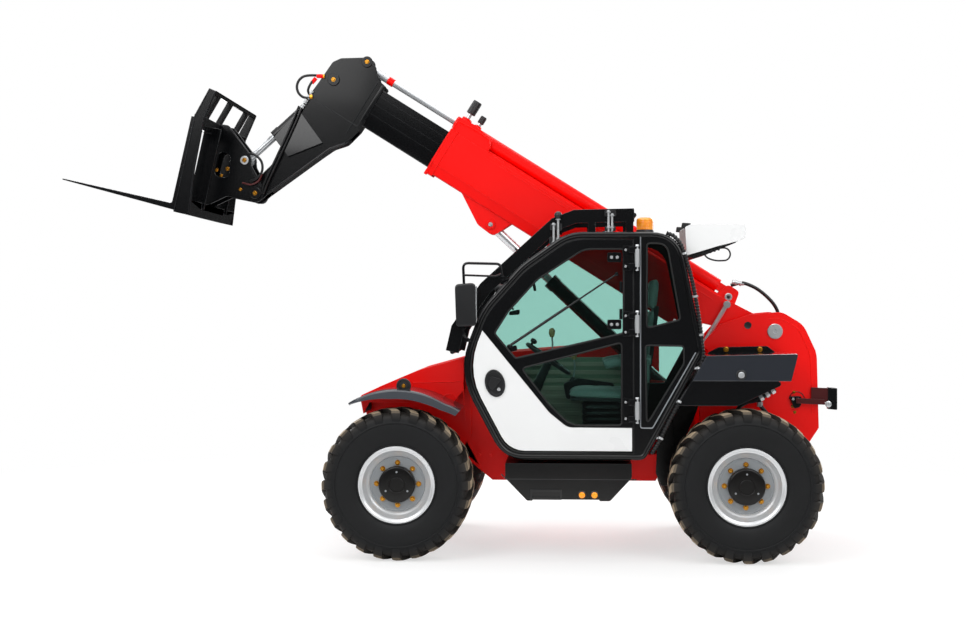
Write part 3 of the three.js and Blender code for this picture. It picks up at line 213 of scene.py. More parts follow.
# ------------ chassis
# A welded frame of thick steel plate, with folded nose cowls over the front wheels. It is
# blasted, primed and sprayed in gloss red after welding, so its cut edges are softly rounded.
REAR_AXLE = joints["rear_left_wheel_spin"]["pos_m"][0]
BOOM_PIVOT = Vector(joints["boom_lift"]["pos_m"])
CARRIAGE_PIVOT = Vector(joints["carriage_tilt"]["pos_m"])
BOOM_ANGLE = radians(32.2)
FORK_TILT = radians(12.6)
BOOM_Y = BOOM_PIVOT.y * 1000


def at(x, y, z):
    """Millimetres forwards of the rear axle, left of the middle and above the ground."""
    return Vector((REAR_AXLE + x / 1000, y / 1000, z / 1000))


def srgb(code):
    """A six-digit colour as the linear values that a shader takes."""
    channels = [int(code[i:i + 2], 16) / 255 for i in (0, 2, 4)]
    linear = [c / 12.92 if c <= 0.04045 else ((c + 0.055) / 1.055) ** 2.4 for c in channels]
    return (*linear, 1)


def new_material(name):
    """A new material, with its node tree and its Principled shader."""
    material = bpy.data.materials.new(name)
    material.use_nodes = True
    tree = material.node_tree
    return material, tree, tree.nodes["Principled BSDF"]


def noise(tree, place, scale, detail=2.0):
    return first(tree, "TexNoise", {"Vector": place, "Scale": scale, "Detail": detail})


def product(tree, one, other):
    return first(tree, "Math", {0: one, 1: other}, operation="MULTIPLY")


def relief(tree, height, strength, distance):
    return first(tree, "Bump", {"Strength": strength, "Distance": distance, "Height": height})


def tint(tree, factor, low, high):
    """A colour between two, by a factor from 0 to 1."""
    return shade(tree, "Mix", {0: factor, 6: low, 7: high}, data_type="RGBA").outputs[2]


def coated(name, colour, roughness, edge=None, dust=0.25, metallic=0.0, grain=180, depth=0.02,
        coat=0.0, specular=0.5):
    """Sprayed metal or plastic: cloudy tone, fine spray texture, a painted highlight on rounded edges, dust
    low down.
    """
    material, tree, shader = new_material(name)
    place = object_place(tree)
    cloud = noise(tree, place, 2.3, 5.0)
    base = srgb(colour)
    paint = tint(tree, cloud, tuple(c * 0.9 for c in base[:3]) + (1,), base)
    # Rounded edges found by the Bevel node are tinted towards the edge colour: a painted highlight.
    if edge:
        wear_and_edge_highlight = first(tree, "Bevel", {"Radius": 0.006}, samples=4)
        true = shade(tree, "NewGeometry").outputs["Normal"]
        same = shade(tree, "VectorMath", {0: wear_and_edge_highlight, 1: true}, operation="DOT_PRODUCT").outputs[1]
        rim = first(tree, "MapRange", {0: same, 1: 0.985, 2: 0.86, 3: 0.0, 4: 0.55})
        paint = tint(tree, product(tree, rim, cloud), paint, srgb(edge))
    height = shade(tree, "SeparateXYZ", {0: place}).outputs[2]
    low = first(tree, "MapRange", {0: height, 1: 1.0, 2: 0.15, 3: 0.0, 4: dust})
    paint = tint(tree, product(tree, low, cloud), paint, srgb("8d7f6c"))
    gloss = first(tree, "MapRange", {0: cloud, 3: roughness * 0.85, 4: roughness * 1.2})
    fed(tree, shader, {"Base Color": paint, "Roughness": gloss, "Metallic": metallic,
        "Specular IOR Level": specular, "Coat Weight": coat, "Coat Roughness": 0.08,
        "Normal": relief(tree, noise(tree, place, grain), 0.12, depth / 1000)})
    return material


# Each edge colour below is the colour of the painted highlight on rounded edges.
RED_PAINT = coated("red_gloss_paint", "f80703", 0.3, edge="ff3a2c", dust=0.03, specular=0.15)
BLACK_PAINT = coated("black_satin_paint", "08090b", 0.24, edge="54565a", dust=0.04,
    specular=0.4, coat=0.15)


def finished(name, bm, material, body="chassis", replaced=(), crease=35, weighted=True, slot=None):
    """Makes a mesh one finished piece: smooth between creases, and riding on its body if any."""
    for face in bm.faces:
        face.smooth = True
    for edge in bm.edges:
        edge.smooth = len(edge.link_faces) == 2 and edge.calc_face_angle(0) < radians(crease)
    return settled(name, meshed(bm, name), material, body, replaced, weighted)


def meshed(bm, name):
    mesh = bpy.data.meshes.new(name)
    bm.to_mesh(mesh)
    bm.free()
    return mesh


def settled(name, mesh, material, body, replaced=(), weighted=False):
    mesh.name = name
    mesh.materials.clear()
    mesh.materials.append(material)
    piece = bpy.data.objects.new(name, mesh)
    scene.collection.objects.link(piece)
    if weighted:
        piece.modifiers.new("flat_faces", "WEIGHTED_NORMAL").keep_sharp = True
    if body:
        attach(piece, body)
    if replaced:
        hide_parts(*replaced)
    return piece


BODY_OF = {o.name: body for body in frame["bodies"] for o in frame["bodies"][body].children}


def bevelled(bm, size, segments, angle, clamped=True):
    sharp = [e for e in bm.edges if len(e.link_faces) == 2 and e.calc_face_angle(0) > radians(angle)]
    bmesh.ops.bevel(bm, geom=sharp, offset=size / 1000, segments=segments, profile=0.6, affect="EDGES",
        clamp_overlap=clamped)
    return bm


def dressed(node_name, material, edge=3.0):
    """A welded copy of a plain solid in its place: whole flat faces and softly rounded edges."""
    bm = bmesh.new()
    bm.from_mesh(frame["nodes"][node_name].data)
    bmesh.ops.remove_doubles(bm, verts=bm.verts, dist=3e-5)
    bmesh.ops.dissolve_limit(bm, angle_limit=radians(0.6), verts=bm.verts, edges=bm.edges)
    bmesh.ops.dissolve_degenerate(bm, dist=6e-4, edges=bm.edges)
    bevelled(bm, edge, 2, 28, False)
    return finished(node_name + "_skin", bm, material, BODY_OF[node_name], [node_name], crease=50)


dressed("chassis_frame", RED_PAINT)
dressed("rear_tower", RED_PAINT)


# ------------ tyres
# Four industrial tyres with slanted lugs, about a metre across. The carcass is moulded black
# rubber with a raised ring on its sidewall, and dry tan dust stays on the faces of the lugs.
TREAD_FLOOR = 476
TREAD_HALF = 150
LUGS = 24
WHEEL_PLACES = {corner: Vector(joints[corner + "_wheel_spin"]["pos_m"]) for corner in ("front_left",
    "front_right", "rear_left", "rear_right")}


def rounded(corners, steps=4):
    """A closed outline whose corners (x, z, radius) are turned into arcs."""
    outline = []
    for i, (x, z, *radius) in enumerate(corners):
        here = Vector((x, z))
        before = Vector(corners[i - 1][:2]) - here
        after = Vector(corners[(i + 1) % len(corners)][:2]) - here
        if not radius or not radius[0]:
            outline.append((x, z))
            continue
        half = before.angle(after) / 2
        reach = min(radius[0] / max(1e-6, abs(sin(half) / cos(half))), 0.49 * min(before.length,
            after.length))
        start, end = here + before.normalized() * reach, here + after.normalized() * reach
        for step in range(steps + 1):
            t = step / steps
            near, far = start.lerp(here, t), here.lerp(end, t)
            outline.append(tuple(near.lerp(far, t)))
    return outline


def lathe(bm, profile, place, axis=(0, 1, 0), segments=64, closed=False):
    """Turns a profile of (radius, distance along the axis), in millimetres, about an axis."""
    axis = Vector(axis).normalized()
    side = axis.orthogonal().normalized()
    other = axis.cross(side)
    rings = []
    for radius, along in profile:
        middle = Vector(place) + axis * along / 1000
        if radius < 1e-6:
            rings.append([bm.verts.new(middle)])
            continue
        rings.append([bm.verts.new(middle + (side * cos(a) + other * sin(a)) * radius / 1000)
            for a in (2 * pi * k / segments for k in range(segments))])
    pairs = list(zip(rings, rings[1:] + rings[:1])) if closed else list(zip(rings, rings[1:]))
    for low, high in pairs:
        for k in range(segments):
            n = (k + 1) % segments
            if len(low) == 1 and len(high) == 1:
                continue
            if len(low) == 1:
                bm.faces.new((low[0], high[n], high[k]))
            elif len(high) == 1:
                bm.faces.new((low[k], low[n], high[0]))
            else:
                bm.faces.new((low[k], low[n], high[n], high[k]))
    return bm


def facing_out(bm):
    bmesh.ops.remove_doubles(bm, verts=bm.verts, dist=1e-6)
    bmesh.ops.recalc_face_normals(bm, faces=bm.faces)
    return bm


def tree_of(name, sizes, material, build):
    """A Geometry Nodes tree with named sizes, whose copies are made real and get a material."""
    tree = bpy.data.node_groups.new(name, "GeometryNodeTree")
    interface = tree.interface
    interface.new_socket("Geometry", in_out="INPUT", socket_type="NodeSocketGeometry")
    for size, (kind, value) in sizes.items():
        socket = interface.new_socket(size, in_out="INPUT", socket_type="NodeSocket" + kind)
        socket.default_value = value
    interface.new_socket("Geometry", in_out="OUTPUT", socket_type="NodeSocketGeometry")
    inputs = node(tree, "NodeGroupInput").outputs
    copies = build(tree, inputs)
    real = node(tree, "GeometryNodeRealizeInstances", {0: copies})
    painted = node(tree, "GeometryNodeSetMaterial", {0: real.outputs[0], "Material": material})
    output = node(tree, "NodeGroupOutput")
    tree.links.new(painted.outputs[0], output.inputs[0])
    return tree


def grown(source, tree, **sizes):
    """The plain mesh that a tree makes of a source mesh, with its sizes set by name."""
    holder = bpy.data.objects.new("grower", source)
    scene.collection.objects.link(holder)
    modifier = holder.modifiers.new("grow", "NODES")
    modifier.node_group = tree
    for item in tree.interface.items_tree:
        if item.in_out == "INPUT" and item.name.replace(" ", "_").lower() in sizes:
            modifier[item.identifier] = sizes[item.name.replace(" ", "_").lower()]
    view = bpy.context.evaluated_depsgraph_get()
    mesh = bpy.data.meshes.new_from_object(holder.evaluated_get(view), depsgraph=view)
    bpy.data.objects.remove(holder)
    return mesh


def round_the_axle(tree, inputs):
    """Copies of the source at even steps round the Y axis, then moved to their centre."""
    points = node(tree, "GeometryNodePoints", {"Count": inputs["Count"]})
    index = node(tree, "GeometryNodeInputIndex")
    step = node(tree, "ShaderNodeMath", {0: 2 * pi, 1: inputs["Count"]}, operation="DIVIDE")
    angle = node(tree, "ShaderNodeMath", {0: index.outputs[0], 1: step.outputs[0]}, operation="MULTIPLY")
    turn = node(tree, "ShaderNodeCombineXYZ", {1: angle.outputs[0]})
    copies = node(tree, "GeometryNodeInstanceOnPoints", {"Points": points.outputs[0],
        "Instance": inputs["Geometry"], "Rotation": turn.outputs[0]})
    moved = node(tree, "GeometryNodeTranslateInstances", {"Instances": copies.outputs[0],
        "Translation": inputs["Centre"], "Local Space": False})
    return moved.outputs[0]


def ring_tree(name, count, material):
    sizes = {"Count": ("Int", count), "Centre": ("Vector", (0, 0, 0))}
    return tree_of(name, sizes, material, round_the_axle)


def lug(bm, side, turn):
    """One lug: up over the shoulder, then slanting across the tread to the middle."""
    path = [(TREAD_HALF, 416, 0.0), (TREAD_HALF + 4, 446, 0.0), (TREAD_HALF + 1, 478, 0.1),
        (TREAD_HALF - 9, 494, 0.5), (TREAD_HALF - 38, 502.5, 2.2), (70, 505, 5.0), (-10, 505, 10.4)]
    widths = [7.6, 7.8, 7.6, 7.2, 6.6, 5.8, 5.2]
    rings = []
    for (y, r, lead), width in zip(path, widths):
        shoulder = r > 495
        inner = TREAD_FLOOR - 8 if shoulder else r - 12
        inner_y = y if shoulder else y - 26
        ring = []
        for spread, radius, across in ((-0.6, inner, inner_y), (-0.46, r, y), (0.46, r, y),
                (0.6, inner, inner_y)):
            angle = radians(turn + lead + spread * width)
            ring.append(bm.verts.new((radius / 1000 * sin(angle), side * across / 1000,
                radius / 1000 * cos(angle))))
        rings.append(ring)
    layers = bm.faces.layers.float
    dusty = layers.get("tan_face") or layers.new("tan_face")
    for i, (low, high) in enumerate(zip(rings, rings[1:])):
        for k in range(4):
            face = bm.faces.new((low[k], low[(k + 1) % 4], high[(k + 1) % 4], high[k]))
            face[dusty] = (0.0, 0.0, 0.2, 0.9, 1, 1)[i] if k == 1 else 0.0
    bm.faces.new(rings[0])
    bm.faces.new(rings[-1])


def rubber():
    """Black rubber: fine mould grain, brown dust in the tread, tan on the faces of the lugs."""
    material, tree, shader = new_material("lugged_tyre_rubber")
    place = object_place(tree)
    centre, face = [shade(tree, "Attribute", attribute_name=name).outputs["Fac"] for name in (
        "wheel_radius", "tan_face")]
    cloud = noise(tree, place, 9.0, 6.0)
    black = tint(tree, cloud, srgb("08090a"), srgb("131416"))
    tread = first(tree, "MapRange", {0: centre, 1: 0.430, 2: 0.486, 3: 0.0, 4: 0.5})
    dusty = tint(tree, product(tree, tread, cloud), black, srgb("4d463e"))
    wear_and_edge_highlight = first(tree, "MapRange", {0: cloud, 1: 0.36, 2: 0.6, 3: 0.55, 4: 1.0})
    rough = first(tree, "MapRange", {0: cloud, 3: 0.5, 4: 0.75})
    fed(tree, shader, {"Base Color": tint(tree, product(tree, face, wear_and_edge_highlight), dusty, srgb("bba78c")),
        "Roughness": rough, "Specular IOR Level": 0.3, "Normal": relief(tree, noise(tree, place, 260.0),
        0.3, 0.0006)})
    return material


def carcass(bm):
    """The tyre without its lugs: bead, swelling sidewall, moulded rings and tread floor."""
    wall = [(236, 112), (250, 121), (262, 131), (268, 128), (276, 136), (300, 146), (335, 152.5),
        (370, 154), (396, 153), (400, 151), (404, 151), (408, 155), (414, 155), (418, 151), (436, 149),
        (455, 142), (468, 128), (TREAD_FLOOR, 104), (TREAD_FLOOR + 2, 50)]
    lathe(bm, wall + [(r, -y) for r, y in reversed(wall)], (0, 0, 0), segments=128, closed=True)
    return facing_out(bm)


def tyres():
    material = rubber()
    ring = ring_tree("lug_ring", LUGS, material)
    for corner, place in WHEEL_PLACES.items():
        hand = 1 if place.y > 0 else -1
        bm = bmesh.new()
        lug(bm, 1, 0)
        lug(bm, -1, 180 / LUGS)
        facing_out(bm)
        bevelled(bm, 4, 2, 35)
        lugs = grown(meshed(bm, "lug_pair"), ring, count=LUGS)
        whole = bmesh.new()
        carcass(whole)
        whole.from_mesh(lugs)
        for vertex in whole.verts:
            x, y, z = vertex.co
            vertex.co = (x, y * hand, z)
        if hand < 0:
            bmesh.ops.reverse_faces(whole, faces=whole.faces)
        depth = [hypot(v.co.x, v.co.z) for v in whole.verts]
        bmesh.ops.translate(whole, verts=whole.verts, vec=place)
        tyre = finished(corner + "_lugged_tyre", whole, material, corner + "_wheel",
            replaced=[corner + "_tyre"], crease=40)
        radius = tyre.data.attributes.new("wheel_radius", "FLOAT", "POINT")
        radius.data.foreach_set("value", depth)


tyres()


# ------------ rims, hub caps and wheel nuts
# Pressed steel rims in silver white, with a stepped flange and a grey centre disc. Eight brass
# coloured nuts hold each to the hub, whose black cap covers the planetary gears.
RIM_LIP = 255
NUT_CIRCLE = 141
SCREW_CIRCLE = 84
CAP_FACE = 113.2
HUB_CAP = 122
DISC_FACE = 48

RIM_PAINT = coated("silver_white_rim_paint", "e6e8ea", 0.3, dust=0.1, coat=0.3,
    metallic=0.45)
DISC_PAINT = coated("grey_disc_paint", "8d9296", 0.42, dust=0.1)
HUB_PAINT = coated("black_hub_paint", "060607", 0.28, dust=0.03, specular=0.35)
BRASS = coated("brass_plated_steel", "d9982f", 0.22, metallic=0.8, dust=0.05)


def piece(name, bm, *how, **settings):
    """A finished piece, with doubled points joined and every face turned outwards first."""
    return finished(name, facing_out(bm), *how, **settings)


def hex_bolt(bm, radius, height, place, axis=(0, 1, 0)):
    """A hexagon head with a chamfered top, on a round washer."""
    washer, thick = radius * 1.35, height * 0.22
    lathe(bm, [(0, 0), (washer, 0), (washer, thick), (0, thick)], place, axis, 16)
    lathe(bm, [(radius, height * 0.2), (radius, height * 0.88), (radius * 0.84, height),
        (radius * 0.3, height), (0, height * 0.94)], place, axis, 6)


def rims():
    barrel = [(196, DISC_FACE - 12), (198, -116), (240, -120), (246, -127), (RIM_LIP, -127),
        (RIM_LIP, -119), (246, -114), (229, -110), (229, 110), (246, 114), (RIM_LIP, 118), (RIM_LIP, 126),
        (250, 128), (243, 126), (238, 121), (233, 118), (228, 117), (224, 112), (220, 98), (214, 82),
        (208, 74), (203, 70), (198, 66), (192, 62), (188, 56), (185, DISC_FACE), (184, DISC_FACE - 12)]
    disc = [(186, DISC_FACE - 14), (186, DISC_FACE - 1), (180, DISC_FACE + 3), (172, DISC_FACE + 1),
        (166, DISC_FACE - 2), (118, DISC_FACE), (112, DISC_FACE), (112, DISC_FACE - 14)]
    cap = [(0, 15), (98, 15), (98, DISC_FACE - 4), (HUB_CAP - 2, DISC_FACE), (HUB_CAP, 100),
        (HUB_CAP - 5, 108), (HUB_CAP - 13, 113), (64, 113.6), (56, 113.6), (53, 111), (48, 111),
        (45, 113.6), (0, 113.6)]
    nuts = ring_tree("nut_ring", 8, BRASS)
    plugs = ring_tree("cap_screws", 3, DISC_PAINT)
    for corner, place in WHEEL_PLACES.items():
        hand = 1 if place.y > 0 else -1
        body = corner + "_wheel"
        for name, profile, material, replaced in (("_rim_shell", barrel, RIM_PAINT, [corner + "_rim"]),
                ("_wheel_disc", disc, DISC_PAINT, ()), ("_hub_cap", cap, HUB_PAINT, ())):
            bm = lathe(bmesh.new(), [(r, y * hand) for r, y in profile], place, segments=96, closed=True)
            piece(corner + name, bm, material, body, replaced, 38)
        for name, tree, size, height, reach, face, material in (
                ("_wheel_nuts", nuts, 13, 21, NUT_CIRCLE, DISC_FACE, BRASS),
                ("_cap_screws", plugs, 5, 3, SCREW_CIRCLE, CAP_FACE, DISC_PAINT)):
            bm = bmesh.new()
            hex_bolt(bm, size, height, (0, hand * face / 1000, reach / 1000), (0, hand, 0))
            facing_out(bm)
            settled(corner + name, grown(meshed(bm, "bolt"), tree, centre=place), material, body)


rims()


# ------------ cab shell
# A welded steel cab in satin black. Its side frames are pressed from thick sheet round a rounded
# outer tube, and rubber seals hold flat tinted panes in their openings.
CAB_OUTER = 840
CAB_INNER = 150
CAB_CORNERS = [(1899, 1253, 550), (1590, 675, 230), (664, 675, 60), (278, 1388, 90), (436, 2175, 230),
    (1170, 2177, 320), (1478, 1962, 500), (1742, 1668, 500)]
GLASS_FACE = 804
DOOR_EDGE_X = 740


def smooth_line(points, steps=8):
    """Points along one smooth curve that passes through every given point."""
    points = [Vector(p) for p in points]
    line = []
    for i, (p1, p2) in enumerate(zip(points, points[1:])):
        p0 = points[i - 1] if i else p1 * 2 - p2
        p3 = points[i + 2] if i + 2 < len(points) else p2 * 2 - p1
        for step in range(steps):
            t = step / steps
            line.append(0.5 * (2 * p1 + (p2 - p0) * t + (2 * p0 - 5 * p1 + 4 * p2 - p3) * t ** 2
                + (3 * p1 - p0 - 3 * p2 + p3) * t ** 3))
    return line + [points[-1]]


def joined(bm, rings, capped=False):
    """Faces between each closed ring of vertices and the next, and over both ends if asked."""
    for low, high in zip(rings, rings[1:]):
        for k in range(len(low)):
            n = (k + 1) % len(low)
            bm.faces.new((low[k], low[n], high[n], high[k]))
    if capped:
        bm.faces.new(rings[0])
        bm.faces.new(rings[-1])


def sweep(bm, line, radius, sides=12, closed=False):
    """A round bar along a line of points. The radius, in millimetres, may vary along it."""
    line = [Vector(p) for p in line]
    count = len(line)
    sizes = radius if isinstance(radius, (list, tuple)) else [radius] * count
    tangents = []
    for i in range(count):
        before = line[i - 1] if i or closed else line[i]
        after = line[(i + 1) % count] if i + 1 < count or closed else line[i]
        tangents.append((after - before).normalized())
    side = tangents[0].orthogonal().normalized()
    rings = []
    for point, tangent, size in zip(line, tangents, sizes):
        side = (side - tangent * side.dot(tangent)).normalized()
        other = tangent.cross(side)
        rings.append([bm.verts.new(point + (side * cos(a) + other * sin(a)) * size / 1000)
            for a in (2 * pi * k / sides for k in range(sides))])
    if closed:
        start, end = rings[0], rings[-1]
        shift = min(range(sides), key=lambda k: (start[k].co - end[0].co).length)
        rings.append(start[shift:] + start[:shift])
    else:
        bm.faces.new(rings[0][::-1])
        bm.faces.new(rings[-1])
    joined(bm, rings)


def flat(points, y, to=at):
    """Pairs of millimetres in one upright plane, as places in the frame."""
    return [to(x, y, z) for x, z in points]


def arc(x, z, radius, angles):
    return [(x + radius * cos(radians(a)), z + radius * sin(radians(a))) for a in angles]


def prism(bm, outline, y0, y1):
    """A closed outline of (x, z), drawn out across the machine from y0 to y1."""
    low, high = [[bm.verts.new(p) for p in flat(outline, y)] for y in (y0, y1)]
    count = len(outline)
    bm.faces.new(low)
    bm.faces.new(high[::-1])
    for k in range(count):
        n = (k + 1) % count
        bm.faces.new((low[k], high[k], high[n], low[n]))
    return bm


def softened(bm, size, segments=2):
    """Rounds every sharp edge of a mesh, by a size in millimetres."""
    bmesh.ops.recalc_face_normals(bm, faces=bm.faces)
    return bevelled(bm, size, segments, 30)


def box_line(x0, x1, z0, z1, radius):
    """An upright rectangle with rounded corners."""
    return rounded([(x, z, radius) for x, z in ((x0, z0), (x1, z0), (x1, z1), (x0, z1))])


def inset_corners(corners, distance):
    """Moves each side of a closed run of (x, z, radius) corners inwards by a distance."""
    moved = []
    area = sum(a[0] * b[1] - b[0] * a[1] for a, b in zip(corners, corners[1:] + corners[:1]))
    inward = distance if area > 0 else -distance
    for i, (x, z, radius) in enumerate(corners):
        before, after = corners[i - 1], corners[(i + 1) % len(corners)]
        a = Vector((x - before[0], z - before[1])).normalized()
        b = Vector((after[0] - x, after[1] - z)).normalized()
        normal = Vector((-a.y - b.y, a.x + b.x)).normalized()
        reach = inward / max(0.3, normal.dot(Vector((-a.y, a.x))))
        moved.append((x + normal.x * reach, z + normal.y * reach, max(15, radius - distance)))
    return moved


def cab_line(distance, steps=8):
    return rounded(inset_corners(CAB_CORNERS, distance), steps)


RUBBER_SEAL = coated("black_seal_rubber", "0c0d0e", 0.6, dust=0.05, grain=400)
TRIM_GREY = coated("grey_edge_trim", "8b8f94", 0.35, dust=0.05, metallic=0.4)


def clear_glass(name, colour):
    """Flat tinted safety glass: it colours what is behind it and mirrors the room at a glance."""
    material, tree, shader = new_material(name)
    tree.nodes.remove(shader)
    clear = first(tree, "BsdfTransparent", {"Color": colour})
    gloss = first(tree, "BsdfGlossy", {"Color": (1, 1, 1, 1), "Roughness": 0.03})
    glass = first(tree, "MixShader", {0: first(tree, "Fresnel", {"IOR": 1.45}), 1: clear, 2: gloss})
    fed(tree, tree.nodes["Material Output"], {"Surface": glass})
    return material


GLASS = clear_glass("tinted_glass", (0.745, 0.89, 0.858, 1))

for part in ("cab_left_side", "cab_right_side", "cab_rear_wall", "cab_roof", "cab_floor"):
    dressed(part, BLACK_PAINT, 4)
for part in ("windscreen", "rear_window", "right_window", "quarter_glass", "door_glass"):
    pane = frame["nodes"][part].data
    pane.materials.clear()
    pane.materials.append(GLASS)


def blanks(count):
    return [bmesh.new() for _ in range(count)]


def cab_tubes():
    """The rounded tubes that show as the cab's outer edge, seen from its two sides."""
    bm = bmesh.new()
    for y in (CAB_OUTER - 6, CAB_INNER + 6):
        sweep(bm, flat(cab_line(19), y), 18, 14, closed=True)
    piece("cab_edge_tubes", bm, BLACK_PAINT, weighted=False)


QUARTER_PANES = [[(646, 2098, 20), (520, 2098, 90), (432, 1600, 20), (648, 1545, 20)],
    [(656, 1428, 20), (410, 1424, 20), (410, 1310, 40), (648, 915, 10)],]
DOOR_PANES = [[(1650, 1508, 20), (1512, 1345, 20), (805, 1511, 20), (803, 2061, 20), (1060, 2062, 160),
    (1370, 1860, 200), (1560, 1650, 100)], [(1470, 1276, 20), (816, 1446, 20), (816, 906, 20),
    (1150, 903, 160), (1290, 1040, 80)],]


def seals(name, panes, body):
    """Rubber round each opening, a little proud of the steel."""
    bm = bmesh.new()
    for pane in panes:
        sweep(bm, flat(rounded(inset_corners(pane, -3)), CAB_OUTER - 4), 7, 8, closed=True)
    piece(name, bm, RUBBER_SEAL, body, weighted=False)


def quarter_trim():
    """The bright edge strip that frames the fixed rear quarter of the cab's side."""
    line = rounded([(691, 2150, 0), (691, 886, 15), (612, 886, 15), (330, 1384, 0)])
    bm = bmesh.new()
    sweep(bm, flat(line, CAB_OUTER + 1), 4.5, 8)
    piece("quarter_trim_strip", bm, TRIM_GREY, weighted=False)


def quarter_latch():
    """The opening quarter pane's round catch, with three silver screws."""
    bm = bmesh.new()
    lathe(bm, [(0, -6), (30, -6), (30, 6), (26, 10), (12, 10), (10, 16), (0, 16)], at(466, GLASS_FACE + 3,
        1561), segments=32)
    piece("quarter_latch", bm, BLACK_PAINT, slot="black_plastic")
    bm = bmesh.new()
    for spot in flat(arc(466, 1561, 34, (90, 200, 340)), GLASS_FACE + 3):
        hex_bolt(bm, 7, 8, spot)
    piece("quarter_latch_screws", bm, SILVER_BOLT)


SILVER_BOLT = coated("zinc_plated_steel", "d4d7d9", 0.25, metallic=0.55, dust=0.03)
cab_tubes()
seals("quarter_seals", QUARTER_PANES, "chassis")
quarter_trim()
quarter_latch()


# ------------ door
# A steel door frame hung on three pins at its rear edge, with a bolted white skin over its
# lower front corner. The upper pane swings on two black hinge plates and has a gas stay.


WHITE_PAINT = coated("white_gloss_paint", "e9eaea", 0.28, dust=0.04, coat=0.35, grain=120)
dressed("door_frame", BLACK_PAINT, 4)
dressed("door_panel", WHITE_PAINT, 3)
seals("door_seals", DOOR_PANES, "door")


def door_gasket():
    """The rubber strip round the door's edge, in the gap to the cab's side frame."""
    line = [(x, z) for x, z in cab_line(46, 10) if x > DOOR_EDGE_X + 4]
    first = max(range(len(line)), key=lambda i: (line[i][1] > 2000) * (2000 - line[i][0]))
    line = line[first:] + line[:first]
    top, bottom = line[0][1], line[-1][1]
    line = [(DOOR_EDGE_X - 4, top)] + line + [(DOOR_EDGE_X - 4, bottom)]
    bm = bmesh.new()
    sweep(bm, flat(line, CAB_OUTER - 3), 5.5, 8, closed=True)
    piece("door_gasket", bm, RUBBER_SEAL, "door", weighted=False)


HINGE = (714, 870)
HINGE_HEIGHTS = (1002, 1570, 2003)


def hinge_pins():
    # The wide silver barrel in the middle of each pin is a painted highlight, for the light along the black
    # hinge barrels.
    bm = bmesh.new()
    for z in HINGE_HEIGHTS:
        lathe(bm, [(0, -84), (9, -84), (11, -80), (11, -76), (8, -74), (8, -60), (15.5, -59), (16, -57),
            (16, 57), (15.5, 59), (8, 60), (8, 74), (12, 76), (14, 80), (12, 88), (0, 90)], at(*HINGE, z),
            axis=(0, 0, 1), segments=20)
    piece("hinge_pins", bm, SILVER_BOLT)
    bm = bmesh.new()
    for z in HINGE_HEIGHTS:
        for side in (-1, 1):
            hex_bolt(bm, 9, 9, at(DOOR_EDGE_X + 48, CAB_OUTER, z + side * 54))
    piece("hinge_bolts", bm, SILVER_BOLT, "door")
    bm = bmesh.new()
    for z in HINGE_HEIGHTS:
        plate = box_line(DOOR_EDGE_X + 4, DOOR_EDGE_X + 66, z - 82, z + 82, 8)
        prism(bm, plate, CAB_OUTER - 1, CAB_OUTER + 6)
    finished("hinge_leaves", softened(bm, 1.5), BLACK_PAINT, "door")


def window_fittings():
    """Two hinge plates on the upper pane, its gas stay, and a little catch at the front."""
    plates, screws = blanks(2)
    for z in (2010, 1567):
        outline = box_line(815, 908, z - 32, z + 32, 12)
        prism(plates, outline, GLASS_FACE - 1, GLASS_FACE + 9)
        for x in (842, 880):
            hex_bolt(screws, 8, 9, at(x, GLASS_FACE + 9, z))
    prism(plates, rounded([(1500, 1394, 10), (1585, 1376, 10), (1592, 1412, 10), (1508, 1430, 10)]),
        GLASS_FACE - 1, GLASS_FACE + 14)
    for x in (815, 822):
        for z in (1600, 1780):
            sweep(plates, flat([(x, z), (x, z + 70)], GLASS_FACE + 6), 7)
    finished("window_plates", softened(plates, 2), BLACK_PAINT, "door", slot="black_plastic")
    piece("window_screws", screws, SILVER_BOLT, "door")
    stay = bmesh.new()
    low, high = at(1557, GLASS_FACE + 12, 1422), at(846, GLASS_FACE + 12, 1899)
    middle = low.lerp(high, 0.55)
    sweep(stay, [low, middle], 9.5, 12)
    sweep(stay, [middle, high], 6, 12)
    for end in (low, high):
        lathe(stay, [(0, -12), (11, -12), (13, -6), (13, 6), (9, 12), (0, 12)], end, segments=20)
    piece("window_stay", stay, BLACK_PAINT, "door", slot="black_plastic")


def door_handle():
    """An oval black dish let into the white skin, with a paddle and a lock barrel in it."""
    centre_x, centre_z, lean = 1648, 1178, radians(14)

    def oval(width, height, y):
        points = []
        for k in range(40):
            a = 2 * pi * k / 40
            x, z = width * cos(a), height * sin(a)
            points.append(at(centre_x + x * cos(lean) + z * sin(lean), y, centre_z + z * cos(lean) - x
                * sin(lean)))
        return points

    bm = bmesh.new()
    face = CAB_OUTER + 3.2
    rings = [oval(66, 92, face - 1), oval(66, 92, face + 7), oval(61, 87, face + 11),
        oval(54, 80, face + 11), oval(50, 76, face + 3), oval(44, 68, face + 0.5)]
    joined(bm, [[bm.verts.new(p) for p in ring] for ring in rings], True)
    piece("door_handle_dish", bm, BLACK_PLASTIC, "door")
    bm = bmesh.new()
    paddle = rounded([(centre_x - 44, centre_z + 28, 12), (centre_x + 26, centre_z + 46, 14),
        (centre_x + 44, centre_z - 22, 20), (centre_x + 12, centre_z - 50, 16), (centre_x - 20,
        centre_z - 6, 14)])
    prism(bm, paddle, face, face + 12)
    finished("door_handle_paddle", softened(bm, 3, 3), BLACK_PLASTIC, "door")
    bm = bmesh.new()
    lathe(bm, [(0, 0), (12, 0), (12, 14), (10, 17), (0, 17)], at(centre_x - 26, face - 1, centre_z - 40),
        segments=24)
    piece("door_lock", bm, SILVER_BOLT, "door")


BLACK_PLASTIC = coated("black_moulded_plastic", "151618", 0.42, edge="55575a", dust=0.08,
    grain=320, depth=0.08)
door_gasket()
hinge_pins()
window_fittings()
door_handle()


# ------------ roof guard and its clamps
# A guard of flat steel bars over the windscreen and roof, against falling loads. Two pairs of
# clamps with plated rods hold it to the cab, and small black work lamps hang from it.
dressed("roof_guard", BLACK_PAINT, 4)
GUARD_SIDES = (220, 780)


